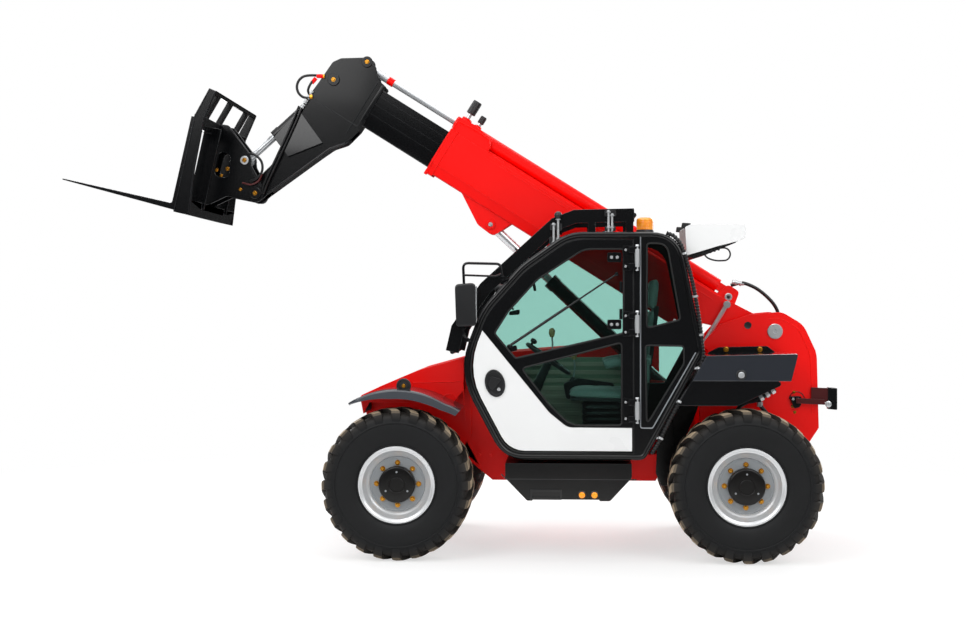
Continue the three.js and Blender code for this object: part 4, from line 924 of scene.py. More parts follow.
def guard_clamps():
    rods, knobs = blanks(2)
    for y in (GUARD_SIDES[1] + 22, GUARD_SIDES[0] - 22):
        for x, low, high, ball in ((1232, 2105, 2275, 27), (1262, 2082, 2240, 0), (900, 2180, 2322, 0),
                (876, 2180, 2300, 0)):
            sweep(rods, flat([(x, low), (x, high)], y), 7.5, 10)
            for z in (low + 22, high - 16):
                hex_bolt(rods, 13, 12, at(x, y, z), (0, 0, 1))
            if ball:
                lathe(knobs, [(0, -24), (14, -24), (20, -16), (ball, 0), (20, 17), (10, 24), (0, 26)],
                    at(x, y, high + 14), (0, 0, 1), 24)
        for x, z, w, h in ((1246, 2120, 44, 26), (1246, 2212, 40, 22), (888, 2200, 36, 18),
                (888, 2300, 38, 20)):
            prism(knobs, box_line(x - w, x + w, z - h, z + h, 8), y - 16, y + 3)
    piece("guard_clamp_rods", rods, SILVER_BOLT)
    finished("guard_clamp_knobs", softened(knobs, 2), BLACK_PLASTIC)


def work_lamps():
    """Round black lamp housings with ribbed backs and clear fronts, tipped down."""
    shells, fronts = blanks(2)
    for x, y, z in ((1470, 690, 1985), (1470, 300, 1985), (1640, 640, 1795), (1640, 350, 1795)):
        aim = Vector((0.93, 0, -0.36)).normalized()
        lathe(shells, [(0, -46), (24, -44), (30, -34), (34, -34), (36, -22), (40, -22), (42, -8), (48, -6),
            (50, 14), (46, 16), (44, 10), (0, 8)], at(x, y, z), aim, 28)
        lathe(fronts, [(0, 9), (43, 9), (43, 12), (30, 16), (0, 18)], at(x, y, z), aim, 28)
        up = at(x + 50, y, z + 90)
        sweep(shells, [at(x, y, z + 30), up], 7, 8)
    piece("work_lamp_shells", shells, BLACK_PLASTIC)
    piece("work_lamp_fronts", fronts, LAMP_GLASS)


LAMP_GLASS = coated("frosted_lamp_glass", "cfd3d6", 0.12, dust=0.02, coat=0.6)
guard_clamps()
work_lamps()


# ------------ fenders, nose and lamps
# Moulded dark grey fenders over the front wheels, with a turned-down outer lip. Each carries a
# round black position lamp on a rubber foot, and two headlamps are let into the red nose.
FRONT_AXLE_X = 2300
AXLE_Z = 505
FENDER_TOP = 630
FENDER_GREY = coated("grey_gloss_moulding", "43474d", 0.16, dust=0.04, coat=0.6, grain=140)


def fender(bm, hand):
    """A curved sheet whose lip is deepest over the middle and narrows to both tips."""
    steps = 40
    loops = []
    for k in range(steps + 1):
        t = k / steps
        angle = radians(58 + (130.5 - 58) * t)
        deep = 6 + 46 * min(1, 2.6 * t) ** 0.9 * (1 - 0.25 * max(0, t - 0.7) / 0.3)
        wide = 892 - 90 * max(0, 1 - t / 0.14) ** 2
        grow = 22 * max(0, (t - 0.86) / 0.14)
        top = FENDER_TOP + grow
        section = [(436, top - 10), (436, top - 3), (442, top), (wide - 22, top), (wide - 8, top - 3),
            (wide, top - 12), (wide, top - deep - 8), (wide - 7, top - deep - 8), (wide - 9, top - 18),
            (wide - 20, top - 9), (446, top - 9)]
        loops.append([bm.verts.new(at(FRONT_AXLE_X + r * cos(angle), y * hand, AXLE_Z + r * sin(angle)))
            for y, r in section])
    joined(bm, loops, True)
    return bm


def fender_lamp(hand):
    shell, dot = blanks(2)
    spot = at(2253, 838 * hand, 1160)
    out = (0, hand, 0)
    lathe(shell, [(0, -38), (30, -38), (40, -30), (47, -8), (49, 8), (49, 20), (45, 24), (41, 22), (38, 14),
        (20, 16), (18, 20), (0, 20)], spot, out, 36)
    foot = rounded([(2206, 1122, 5), (2300, 1118, 5), (2290, 1136, 8), (2216, 1139, 8)])
    prism(shell, foot, hand * 806, hand * 868)
    lathe(dot, [(0, 16), (13, 16), (13, 25), (9, 30), (0, 31)], spot, out, 24)
    side = "left" if hand > 0 else "right"
    piece(side + "_fender_lamp", shell, BLACK_PLASTIC)
    piece(side + "_fender_lamp_centre", dot, BRASS)


for hand, side in ((1, "left"), (-1, "right")):
    piece(side + "_moulded_fender", fender(bmesh.new(), hand), FENDER_GREY, replaced=[side + "_fender"],
        weighted=False)
    fender_lamp(hand)
    bm = bmesh.new()
    for x in (2160, 2390):
        sweep(bm, [at(x, 432 * hand, 1085), at(x, 600 * hand, 1098), at(x, 860 * hand, 1100)], 13, 10)
    piece(side + "_fender_stays", bm, BLACK_PAINT, weighted=False)


def seam(bm, points, y, width):
    """A raised weld or folded seam that runs along a flat side plate."""
    sweep(bm, flat(points, y), width / 2, 8)


def nose_details():
    """Seams, plate edges and bolts on the two outer faces of the red nose."""
    seams, bolts = blanks(2)
    for hand in (1, -1):
        y = 431.5 * hand
        seam(seams, [(2236, 1160), (1975, 1164), (1890, 1172), (1882, 1000), (1872, 900)], y, 6)
        seam(seams, [(1858, 1262), (1852, 1130), (1838, 1128), (1831, 790)], y, 5)
        for x, z in ((1775, 665), (1700, 660)):
            hex_bolt(bolts, 9, 9, at(x, y, z), (0, hand, 0))
        seam(seams, arc(1985, 1020, 62, range(20, 161, 10)), y, 6)
    piece("nose_seams", seams, RED_PAINT, weighted=False)
    piece("nose_bolts", bolts, RED_PAINT)


def headlamps():
    """Round lamps in thin black bezels, let into the nose's two front faces."""
    bezels, lenses = blanks(2)
    ahead = Vector((0.98, 0, -0.19)).normalized()
    for hand in (1, -1):
        spot = at(2592, 352 * hand, 1000)
        lathe(bezels, [(0, -50), (42, -50), (50, -20), (54, 2), (51, 6), (46, 5), (43, 0), (0, -6)], spot,
            ahead, 40)
        lathe(lenses, [(0, -4), (43, -1), (40, 4), (26, 7), (0, 8)], spot, ahead, 40)
    piece("headlamp_bezels", bezels, BLACK_PLASTIC)
    piece("headlamp_lenses", lenses, LAMP_GLASS, weighted=False)


def grained(name, slot, tones, cloud, grain, bump, cells=False, glow=0.0, polish=None, **inputs):
    """Cloudy between two tones, with a fine relief. Other inputs are set by name."""
    material, tree, shader = new_material(name)
    place = object_place(tree)
    colour = tint(tree, noise(tree, place, *cloud), *map(srgb, tones))
    fine = first(tree, "TexVoronoi", {"Vector": place, "Scale": grain}) if cells else noise(tree, place,
        grain)
    fed(tree, shader, {"Base Color": colour, "Normal": relief(tree, fine, *bump)})
    fed(tree, shader, {key.replace("_", " "): value for key, value in inputs.items()})
    # glow is emission in the material's own colour: a painted glow.
    if glow:
        fed(tree, shader, {"Emission Color": colour, "Emission Strength": glow})
    if polish:
        rough = first(tree, "MapRange", {0: fine, 3: polish[0], 4: polish[1]})
        fed(tree, shader, {"Roughness": rough})
    return material


# Clear orange moulding with fine ribs. Its faint glow is painted light, for the light that comes through it.
AMBER_LENS = grained("amber_lens_plastic", "amber_lens", ("e86a00", "ffb020"), (30.0, 3.0), 190.0,
    (0.35, 0.0008), cells=True, glow=0.22, Roughness=0.12, Coat_Weight=0.6)
nose_details()
headlamps()


# ------------ step
# A folded black step under the door. It has a tread slot cut in its outer face and two round
# amber marker lamps beside the slot.
STEP_FACE = 861


def step_details():
    dressed("step_panel", BLACK_PAINT, 4)
    slot, teeth, rings, lamps = blanks(4)
    outline = box_line(1206, 1416, 414, 479, 8)
    inner = box_line(1216, 1406, 424, 469, 5)
    faces = []
    for pts, y in ((outline, STEP_FACE), (outline, STEP_FACE + 5), (inner, STEP_FACE + 5),
            (inner, STEP_FACE + 0.5)):
        faces.append([slot.verts.new(p) for p in flat(pts, y)])
    joined(slot, faces)
    slot.faces.new(faces[-1])
    slot.faces.new(faces[0])
    for k in range(11):
        x = 1226 + 17 * k
        prism(teeth, [(x - 4, 428), (x + 4, 428), (x + 4, 436), (x, 441), (x - 4, 436)], STEP_FACE + 1,
            STEP_FACE + 5.5)
    for x in (1075, 993):
        spot = at(x, STEP_FACE - 1, 446)
        lathe(rings, [(0, 0), (29, 0), (29, 6), (25, 9), (22, 6), (0, 4)], spot, segments=36)
        lathe(lamps, [(0, 3), (21, 4), (20, 11), (11, 15), (0, 16)], spot, segments=36)
    piece("step_slot", slot, BLACK_PLASTIC)
    finished("step_teeth", softened(teeth, 1, 1), BLACK_PAINT)
    piece("step_lamp_rings", rings, BLACK_PLASTIC)
    piece("step_lamps", lamps, AMBER_LENS, weighted=False)
    edge = bmesh.new()
    sweep(edge, flat([(1605, 580), (1575, 548), (718, 548)], STEP_FACE - 4), 4, 8)
    piece("step_bead", edge, BLACK_PAINT)


step_details()


# ------------ tank and cover
# A black steel tank behind the cab over the rear wheel, under a glossy moulded cover. A bar on
# top is held by two gold bolts, and pipe fittings come out under the cover's rear end.
GLOSS_COVER = coated("grey_black_gloss_cover", "2a2d33", 0.12, edge="6a6c70", dust=0.05,
    coat=0.8, grain=110)
TANK_FACE = 862


def tank_details():
    bolt, ring, bar, gold = blanks(4)
    for hand in (1, -1):
        spot = at(37, TANK_FACE * hand, 1237)
        lathe(ring, [(0, -2), (34, -2), (34, 4), (28, 7), (0, 6)], spot, (0, hand, 0), 32)
        lathe(bolt, [(0, 5), (21, 5), (21, 12), (17, 16), (0, 17)], spot, (0, hand, 0), 24)
        lathe(bolt, [(0, 15), (9, 15), (9, 21), (0, 22)], spot, (0, hand, 0), 6)
        outline = rounded([(225, 1363, 6), (140, 1408, 16), (-190, 1416, 16), (-255, 1366, 6)])
        prism(bar, outline, hand * 392, hand * 424)
        for x in (-140, 90):
            lathe(gold, [(0, -3), (19, -3), (19, 4), (15, 9), (0, 11)], at(x, 424 * hand, 1392),
                (0, hand, 0), 20)
            lathe(gold, [(15, 4), (15, 20), (0, 21)], at(x, 424 * hand, 1392), (0, hand, 0), 6)
    piece("tank_screw_rings", ring, BLACK_PLASTIC)
    piece("tank_screws", bolt, SILVER_BOLT)
    finished("tank_bars", softened(bar, 3), BLACK_PAINT)
    piece("tank_bar_bolts", gold, BRASS)


def rear_fittings():
    """Pipe unions and short hoses between the tank and the red tower."""
    steel, black = blanks(2)
    line = flat([(-255, 1120), (-190, 1076), (-120, 1040), (-60, 1030)], 330)
    sweep(black, smooth_line(line, 6), 17, 12)
    for k, (x, z) in enumerate(((-238, 1108), (-200, 1083), (-160, 1060))):
        lathe(steel, [(0, -13), (26, -13), (26, 13), (0, 13)], at(x, 330, z), (0.83, 0, -0.55),
            6 if k != 1 else 24)
    line = [at(-150, 330, 1050), at(-152, 330, 1010), at(-190, 330, 960), at(-235, 322, 900)]
    sweep(black, smooth_line(line, 6), 15, 12)
    line = [at(-70, 330, 1030), at(-20, 330, 1000), at(10, 322, 950), at(0, 322, 880)]
    sweep(black, smooth_line(line, 6), 15, 12)
    lathe(steel, [(0, -16), (21, -16), (21, 16), (0, 16)], at(-151, 330, 1012), (0, 0, 1), 6)
    piece("tank_unions", steel, SILVER_BOLT)
    piece("tank_pipes", black, HOSE_RUBBER, weighted=False)


# Black synthetic rubber with a wrapped finish and a dull shine.
HOSE_RUBBER = grained("wrapped_hose_rubber", "black_plastic", ("0b0b0c", "1a1a1c"), (14.0, 4.0), 420.0,
    (0.3, 0.0004), Roughness=0.36)
dressed("left_tank", BLACK_PAINT, 4)
dressed("right_tank", BLACK_PAINT, 4)
dressed("left_tank_cover", GLOSS_COVER, 7)
tank_details()
rear_fittings()


# ------------ rear tower fittings
# Plates that carry the boom's rear pin, with a weld bead inside their rounded rear edge. A
# bracket on each side holds a dark red arm for the rear lamp panel.
DARK_RED = coated("dark_red_gloss_paint", "4d0a0c", 0.3, dust=0.05, coat=0.4)
TOWER_OUTER = {1: BOOM_Y + 255, -1: BOOM_Y - 255}


def tower_details():
    pins, hole_shade_discs, seams, gold = blanks(4)
    for hand in (1, -1):
        y, out = TOWER_OUTER[hand], (0, hand, 0)
        lathe(pins, [(0, 0), (53, 0), (53, 9), (49, 13), (16, 13), (13, 9), (0, 9)], at(-273, y, 1513), out,
            40)
        for spot in flat(arc(-273, 1513, 36, (30, 150, 270)), y + 12 * hand):
            hex_bolt(pins, 6, 5, spot, out)
        # Flat black discs a little proud of each plate stand for its round hole: painted shade.
        lathe(hole_shade_discs, [(0, 0), (25, 0), (25, 3), (20, 1.2), (0, 1)], at(-86, y, 1555), out, 32)
        line = rounded([(-230, 1598, 0), (-308, 1605, 80), (-437, 1532, 120), (-517, 1350, 180),
            (-531, 940, 0)], 8)
        sweep(seams, flat(line, y), 3.2, 8)
        for x, z in ((-405, 1090), (-395, 990), (-410, 950)):
            hex_bolt(gold, 8, 8, at(x, y, z), out)
    piece("tower_pin_caps", pins, SILVER_BOLT)
    piece("tower_holes", hole_shade_discs, BLACK_PLASTIC)
    piece("tower_seams", seams, RED_PAINT, weighted=False)
    piece("tower_bolts", gold, BRASS)


def rear_lamp_arm():
    y = TOWER_OUTER[1]
    base, arm, screws, lamp = blanks(4)
    seam(base, arc(-424, 1040, 52, range(0, 181, 12)), y, 7)
    prism(base, rounded([(-370, 1062, 12), (-452, 1062, 12), (-448, 990, 20), (-405, 975, 12)]), y, y + 26)
    prism(arm, rounded([(-412, 1052, 6), (-610, 1040, 6), (-612, 1004, 6), (-414, 1014, 6)]), y + 26,
        y + 42)
    prism(arm, rounded([(-520, 1124, 4), (-640, 1120, 4), (-640, 1020, 4), (-520, 1028, 4)]), y + 8, y + 22)
    prism(lamp, rounded([(-634, 1124, 5), (-697, 1120, 8), (-697, 968, 8), (-634, 974, 5)]), y - 30, y + 30)
    for x, z in ((-395, 1043), (-430, 1043)):
        hex_bolt(screws, 7, 7, at(x, y + 26, z))
    lathe(screws, [(0, 0), (22, 0), (22, 6), (16, 9), (0, 9)], at(-636, y + 24, 1008), segments=24)
    finished("lamp_arm_base", softened(base, 2, 1), BLACK_PAINT)
    finished("lamp_arm", softened(arm, 2), DARK_RED)
    finished("rear_lamp_box", softened(lamp, 4), BLACK_PAINT, replaced=["rear_bracket"])
    piece("lamp_arm_screws", screws, SILVER_BOLT)


tower_details()
rear_lamp_arm()


# ------------ air conditioner
# A white moulded housing on the cab's rear edge, over a ribbed black tray. A black drain hose
# loops out under it, and rubber blocks join it to the cab.
CONDENSER_Y = (230, 760)


def tube_hose(name, points, radius, body, material=HOSE_RUBBER, steps=10, sides=12, ends=None):
    """A hose along a smooth path. It rides on a body, or bends between two."""
    line = smooth_line(points, steps)
    bm = bmesh.new()
    sweep(bm, line, radius, sides)
    hose = piece(name, bm, material, body if isinstance(body, str) else None, slot="black_plastic",
        weighted=False)
    if not isinstance(body, str):
        low, high = ends or (len(line) // 5, -len(line) // 5)
        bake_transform(hose, *body, list(line[low]), list(line[high]))


def air_conditioner():
    box, tray, fins, blocks = blanks(4)
    outline = [(384, 2022, 10), (394, 2212, 16), (350, 2231, 30), (8, 2230, 18), (-5, 2212, 12),
        (-5, 2140, 24), (42, 2118, 40), (178, 2084, 60)]
    prism(box, rounded(outline), *CONDENSER_Y)
    finished("condenser_housing", softened(box, 12, 3), WHITE_PAINT, replaced=["condenser_box"])
    prism(tray, rounded([(388, 2012, 6), (388, 2030, 4), (180, 2096, 20), (60, 2124, 6), (52, 2110, 6),
        (150, 2070, 20), (240, 2034, 20), (330, 2006, 10)]), 275, 715)
    for k in range(7):
        x = 330 - 27 * k
        z = 2022 + (330 - x) * 0.33
        prism(fins, [(x - 5, z - 18), (x + 5, z - 18), (x + 5, z), (x - 5, z)], 690, 728)
    for y in (742, 248):
        prism(blocks, rounded([(352, 2236, 6), (412, 2240, 6), (418, 2205, 6), (372, 2200, 6)]), y - 16,
            y + 12)
    finished("condenser_tray", softened(tray, 4), BLACK_PLASTIC)
    finished("condenser_fins", softened(fins, 1, 1), BLACK_PLASTIC)
    finished("condenser_blocks", softened(blocks, 3), RUBBER_SEAL)
    turns = [at(135 - 42 * cos(radians(a)), 716, 2032 + 42 * sin(radians(a))) for a in range(-90, 91, 30)]
    path = [at(268, 700, 2040), at(240, 706, 2008), at(190, 712, 1991)] + turns + [at(172, 706, 2072)]
    tube_hose("drain_hose", path, 5.5, "chassis", steps=8)


air_conditioner()


# ------------ beacon and mirror
# An amber beacon with a ribbed lens on a black rubber foot. The black mirror head hangs on a
# bent tube from the cab's front post.
def beacon():
    lens, foot = blanks(2)
    spot = at(645, 500, 2176)
    profile = [(0, 30), (57, 30)]
    for k in range(7):
        z = 32 + 10 * k
        profile += [(58.5, z), (56.5, z + 3.2), (56.5, z + 6.6)]
    profile += [(54, 104), (47, 111), (30, 115), (0, 116)]
    lathe(lens, profile, spot, (0, 0, 1), 48)
    lathe(foot, [(0, 0), (61, 0), (62, 4), (62, 18), (58, 24), (58, 31), (0, 31)], spot, (0, 0, 1), 48)
    piece("beacon_lens", lens, AMBER_LENS, replaced=["beacon"], weighted=False)
    piece("beacon_foot", foot, BLACK_PLASTIC)


def conduit():
    """A black spiral-wrapped conduit down the cab's rear edge, held by cable clips."""
    path = [at(520, 826, 2168)] + [at(x - 14, 835, z) for x, z in ((480, 2141), (426, 2056), (368, 1853),
        (323, 1605), (303, 1435), (303, 1334), (357, 1198), (419, 1108), (503, 961), (582, 802),
        (636, 712))]
    line = smooth_line(path, 10)
    run = [0.0]
    for a, b in zip(line, line[1:]):
        run.append(run[-1] + (b - a).length)
    fine, here, pitch = [], 0, 0.0052
    for k in range(int(run[-1] / pitch)):
        d = k * pitch
        while run[here + 1] < d:
            here += 1
        span = run[here + 1] - run[here]
        fine.append(line[here].lerp(line[here + 1], (d - run[here]) / span))
    radii = [15.5 if k % 4 < 2 else 11.5 for k in range(len(fine))]
    bm = bmesh.new()
    sweep(bm, fine, radii, 12)
    tube = piece("rear_conduit", bm, HOSE_RUBBER, weighted=False)
    clips = bmesh.new()
    for k in (0.12, 0.3, 0.46, 0.6, 0.76, 0.93):
        i = int(k * (len(fine) - 2))
        along = (fine[i + 1] - fine[i]).normalized()
        lathe(clips, [(15.5, -7), (19, -7), (19, 7), (15.5, 7)], fine[i], along, 20, closed=True)
        sweep(clips, [fine[i] + Vector((0.006, -0.004, 0)), fine[i] + Vector((0.034, -0.006, 0))], 7, 8)
    piece("conduit_clips", clips, SILVER_BOLT)


beacon()
conduit()


# ------------ outer boom
# A folded red box section with chamfered edges and a thick collar at its front. The extension
# cylinder lies on top, and two black breather caps stand on the collar.
BOOM_HALF = 110
LIFT_EYE = (2096, -418)


def turned_from(pivot, angle, ahead, y, up):
    turn = Matrix.Rotation(-angle, 3, "Y")
    return Vector((pivot.x, 0, pivot.z)) + turn @ Vector((ahead, y, up)) / 1000


def on_boom(along, y, across):
    """Millimetres along the boom from its pivot, across the machine, and square to the boom."""
    return turned_from(BOOM_PIVOT, BOOM_ANGLE, along, y, across)


def satin_black(name, colour, roughness, coat):
    return coated(name, colour, roughness, edge="5a5c60", dust=0.03, coat=coat, grain=140,
        specular=0.35)


# Hard chromed and ground steel, with very fine scratches round the rod.
CHROME = grained("hard_chrome", "chrome", ("c8ccd0", "eef0f2"), (8.0, 3.0), 500.0, (0.05, 0.0002),
    polish=(0.08, 0.2), Metallic=0.62)


def pin_end(caps, bolts, place, hand, radius, bolt=11, thick=10):
    """The end of a joint pin: a turned washer with a bolt in its middle."""
    lathe(caps, [(0, 0), (radius, 0), (radius, thick * 0.7), (radius - 3, thick), (bolt + 7, thick),
        (bolt + 5, thick * 0.6), (0, thick * 0.6)], place, (0, hand, 0), 36)
    hex_bolt(bolts, bolt, bolt * 1.1, place + Vector((0, hand * thick * 0.6 / 1000, 0)), (0, hand, 0))


def boom_details():
    across = (on_boom(0, 0, 1) - on_boom(0, 0, 0)).normalized()
    along = (on_boom(1, 0, 0) - on_boom(0, 0, 0)).normalized()
    black, red, steel = blanks(3)
    for s, foot, neck, cap, top, radius in ((2649, 112, 150, 182, 284, 35), (2553, 108, 138, 160, 216, 25)):
        lathe(red, [(0, foot), (radius + 3, foot), (radius + 3, foot + 26), (radius - 4, foot + 32),
            (0, foot + 32)], on_boom(s, BOOM_Y, 0), across, 32)
        lathe(steel, [(0, neck - 8), (15, neck - 8), (15, cap + 4), (0, cap + 4)], on_boom(s, BOOM_Y, 0),
            across, 20)
        ribs = [(0, cap), (radius - 4, cap), (radius, cap + 5)]
        for k in range(int((top - cap - 16) / 9)):
            ribs += [(radius, cap + 6 + 9 * k), (radius - 1.8, cap + 9 + 9 * k), (radius - 1.8,
                cap + 12 + 9 * k), (radius, cap + 14 + 9 * k)]
        ribs += [(radius - 4, top), (0, top)]
        lathe(black, ribs, on_boom(s, BOOM_Y, 0), across, 36)
    piece("boom_cap_rings", red, RED_PAINT, "boom")
    piece("boom_cap_necks", steel, SILVER_BOLT, "boom")
    piece("boom_caps", black, BLACK_PLASTIC, "boom")
    seams, bolts, pins = blanks(3)
    for hand in (1, -1):
        y = BOOM_Y + hand * (BOOM_HALF + 0.5)
        for s0, s1, t, r in ((470, 2380, -34, 2.2), (440, 2690, -262, 2.0), (1480, 2380, -16, 2.0)):
            sweep(seams, flat([(s0, t), (s1, t)], y, on_boom), r, 6)
        collar = flat([(2385, 40), (2420, 88), (2520, 98), (2694, 86)], y, on_boom)
        sweep(seams, collar, 3.5, 8)
        sweep(seams, flat([(2688, -300), (2688, 80)], y, on_boom), 5, 8)
        sweep(seams, flat([(430, 14), (2400, 14)], BOOM_Y + hand * 34, on_boom), 14, 10)
        edge_y = BOOM_Y + hand * 60
        pin_end(pins, bolts, on_boom(LIFT_EYE[0], edge_y, LIFT_EYE[1]), hand, 34, 12, 9)
    lathe(seams, [(0, -10), (22, -10), (22, 10), (0, 10)], on_boom(2690, BOOM_Y + 70, -340), along, 24)
    piece("boom_seams", seams, RED_PAINT, "boom", weighted=False)
    piece("lift_eye_caps", pins, RED_PAINT, "boom")
    piece("lift_eye_bolts", bolts, SILVER_BOLT, "boom")
    rear, rear_bolts, unions = blanks(3)
    for hand in (1, -1):
        pin_end(rear, rear_bolts, at(30, BOOM_Y + hand * 76, 1754), hand, 27, 9, 9)
    axis = (at(-70, 0, 1848) - at(-10, 0, 1858)).normalized()
    start = at(-5, BOOM_Y, 1862)
    lathe(unions, [(0, 0), (16, 0), (16, 16), (20, 18), (20, 34), (15, 36), (15, 52), (19, 54), (19, 66),
        (13, 70), (13, 84), (0, 84)], start, axis, 16)
    piece("extension_rear_caps", rear, SILVER_BOLT, "boom")
    piece("extension_rear_bolts", rear_bolts, BLACK_PLASTIC, "boom")
    piece("extension_unions", unions, SILVER_BOLT, "boom")


def boom_rear_hose():
    """The pressure hose that arches from the extension cylinder down behind the tower."""
    path = flat([(4, 1838), (-70, 1855), (-138, 1836), (-206, 1796), (-280, 1728), (-322, 1664),
        (-334, 1600), (-334, 1530)], BOOM_Y)
    tube_hose("extension_hose", path, 13, ("boom", "chassis"), sides=14, ends=(8, -12))


for part, edge in (("outer_boom", 4), ("extension_barrel", 3)):
    dressed(part, RED_PAINT, edge)
boom_details()
boom_rear_hose()


# ------------ inner boom, rods and head
# The inner boom is a satin black box section with fine lengthwise weld lines. A heavy head is
# welded to its front, and chromed rods reach it from the cylinders.
SATIN_BLACK = satin_black("black_boom_paint", "060709", 0.24, 0.2)
GUSSET_BLACK = satin_black("black_gusset_gloss", "0b0c0e", 0.18, 0.5)
EAR_FACE = BOOM_Y + 101


def head_details():
    lines, pins, bolts, gusset = blanks(4)
    for hand in (1, -1):
        y = BOOM_Y + hand * 94.6
        for t, s0 in ((-62, 2720), (-128, 2720), (-200, 2720)):
            sweep(lines, flat([(s0, t), (3260, t)], y, on_boom), 0.65, 6)
        face = BOOM_Y + hand * 75.5
        sweep(lines, flat([(3330, 20), (3330, -420)], face, on_boom), 3.5, 8)
        sweep(lines, flat([(3290, -330), (3668, -330)], face, on_boom), 2, 6)
        line = flat([(3300, -478), (3374, -566), (3590, -1090)], face, on_boom)
        sweep(lines, line, 4, 8)
        for x, z, radius in ((2858, 3325, 44), (2614, 3451, 40)):
            pin_end(pins, bolts, at(x, face, z), hand, radius, 12, 12)
        quad = [(3107, 3105), (2935, 2868), (3188, 2770), (3296, 2912)]
        deep = [4, 18, 16, 4]
        low = [gusset.verts.new(at(x, face - hand * 2, z)) for x, z in quad]
        high = [gusset.verts.new(at(x, face + hand * d, z)) for (x, z), d in zip(quad, deep)]
        gusset.faces.new(low)
        gusset.faces.new(high)
        joined(gusset, [low, high])
    piece("head_weld_lines", lines, SATIN_BLACK, "boom_extension", weighted=False)
    piece("head_pin_caps", pins, SATIN_BLACK, "boom_extension")
    piece("head_pin_bolts", bolts, BRASS, "boom_extension")
    finished("head_gussets", softened(gusset, 3), GUSSET_BLACK, "boom_extension")
    band, unions = blanks(2)
    along = (on_boom(1, 0, 0) - on_boom(0, 0, 0)).normalized()
    spot = on_boom(0, BOOM_Y, 75)
    lathe(band, [(22, 3240), (29, 3242), (29, 3288), (22, 3290)], spot, along, 32, closed=True)
    lathe(unions, [(22, 3292), (27, 3293), (27, 3330), (30, 3332), (30, 3350), (25, 3352), (25, 3378),
        (31, 3380), (31, 3404), (22, 3406)], spot, along, 32, closed=True)
    piece("rod_red_band", band, RED_PAINT, "boom_extension")
    piece("rod_collars", unions, CHROME, "boom_extension")


def head_hoses():
    """Hoses that loop over the front of the head, with red sleeves and plated unions."""
    y = BOOM_Y + 84
    bow = flat(arc(3040, 3272, 82, range(90, -100, -30)), y + 12)
    loop = [at(2925, y, 3350), at(2980, y + 6, 3355)] + bow
    tube_hose("head_loop_hose", loop, 9.5, "boom_extension")
    small = [at(2990, y, 3330), at(3020, y + 14, 3296), at(3040, y + 14, 3250), at(3035, y + 6, 3215),
        at(3045, y + 2, 3175)]
    tube_hose("head_short_hose", small, 9, "boom_extension")
    red, steel, brass = blanks(3)
    for x, z, dx, dz in ((2955, 3350, 1, 0.02), (3000, 3318, 0.65, -0.75)):
        lathe(red, [(0, -24), (14, -24), (15, 0), (14, 24), (0, 24)], at(x, y + 3, z), (dx, 0, dz), 20)
    for x, z, size in ((3040, 3200, 15), (3062, 3168, 18), (3080, 3135, 14), (3018, 3232, 13)):
        lathe(steel, [(0, -15), (size, -15), (size, -3), (size - 4, -2), (size - 4, 4), (size, 5),
            (size, 15), (0, 15)], at(x, y + 4, z), (0.55, 0, -0.84), 6)
    for x, z in ((2932, 3350), (3020, 3204)):
        lathe(brass, [(0, -10), (15, -10), (15, 10), (0, 10)], at(x, y + 2, z), (1, 0, 0), 6)
    piece("head_red_sleeves", red, RED_PAINT, "boom_extension")
    piece("head_unions", steel, SILVER_BOLT, "boom_extension")
    piece("head_brass_unions", brass, BRASS, "boom_extension")
    for k, shift in enumerate((0, 26)):
        run = [at(3085 + shift * 0.9, y + 8, 3127 + shift * 0.3), at(3150 + shift * 0.9, y + 14, 2975),
            at(3240 + shift * 0.9, y + 18, 2780), at(3330 + shift * 0.9, y + 18, 2590),
            at(3368 + shift * 0.5, y + 14, 2500)]
        tube_hose("head_line_hose_%d" % k, run, 7.5, ("boom_extension", "fork_carriage"))
    curl = [at(3480, EAR_FACE - 4, 2790), at(3430, EAR_FACE + 12, 2785), at(3378, EAR_FACE + 14, 2735),
        at(3372, EAR_FACE + 14, 2665), at(3412, EAR_FACE + 12, 2612), at(3462, EAR_FACE - 2, 2590)]
    tube_hose("carriage_curl_hose", curl, 9, "fork_carriage")
    bow = [at(3372, EAR_FACE + 14, 2640), at(3400, EAR_FACE + 15, 2592), at(3452, EAR_FACE + 13, 2568),
        at(3520, EAR_FACE - 2, 2582)]
    tube_hose("carriage_red_hose", bow, 6.5, "fork_carriage", DARK_RED)


for part in ("inner_boom", "leveller_barrel", "tilt_barrel", "lift_barrel"):
    dressed(part, SATIN_BLACK, 4)
for part in ("extension_rod", "leveller_rod", "tilt_rod", "lift_rod"):
    dressed(part, CHROME, 1.5)
head_details()
head_hoses()


# ------------ carriage and forks
# A welded carriage of black plate and square tube that tilts at the head. Two forged forks hang
# from it, and a bar guard stands over them.


def on_carriage(ahead, y, up):
    """Millimetres ahead of the carriage's pivot, across the machine, and square to its forks."""
    return turned_from(CARRIAGE_PIVOT, FORK_TILT, ahead, y, up)


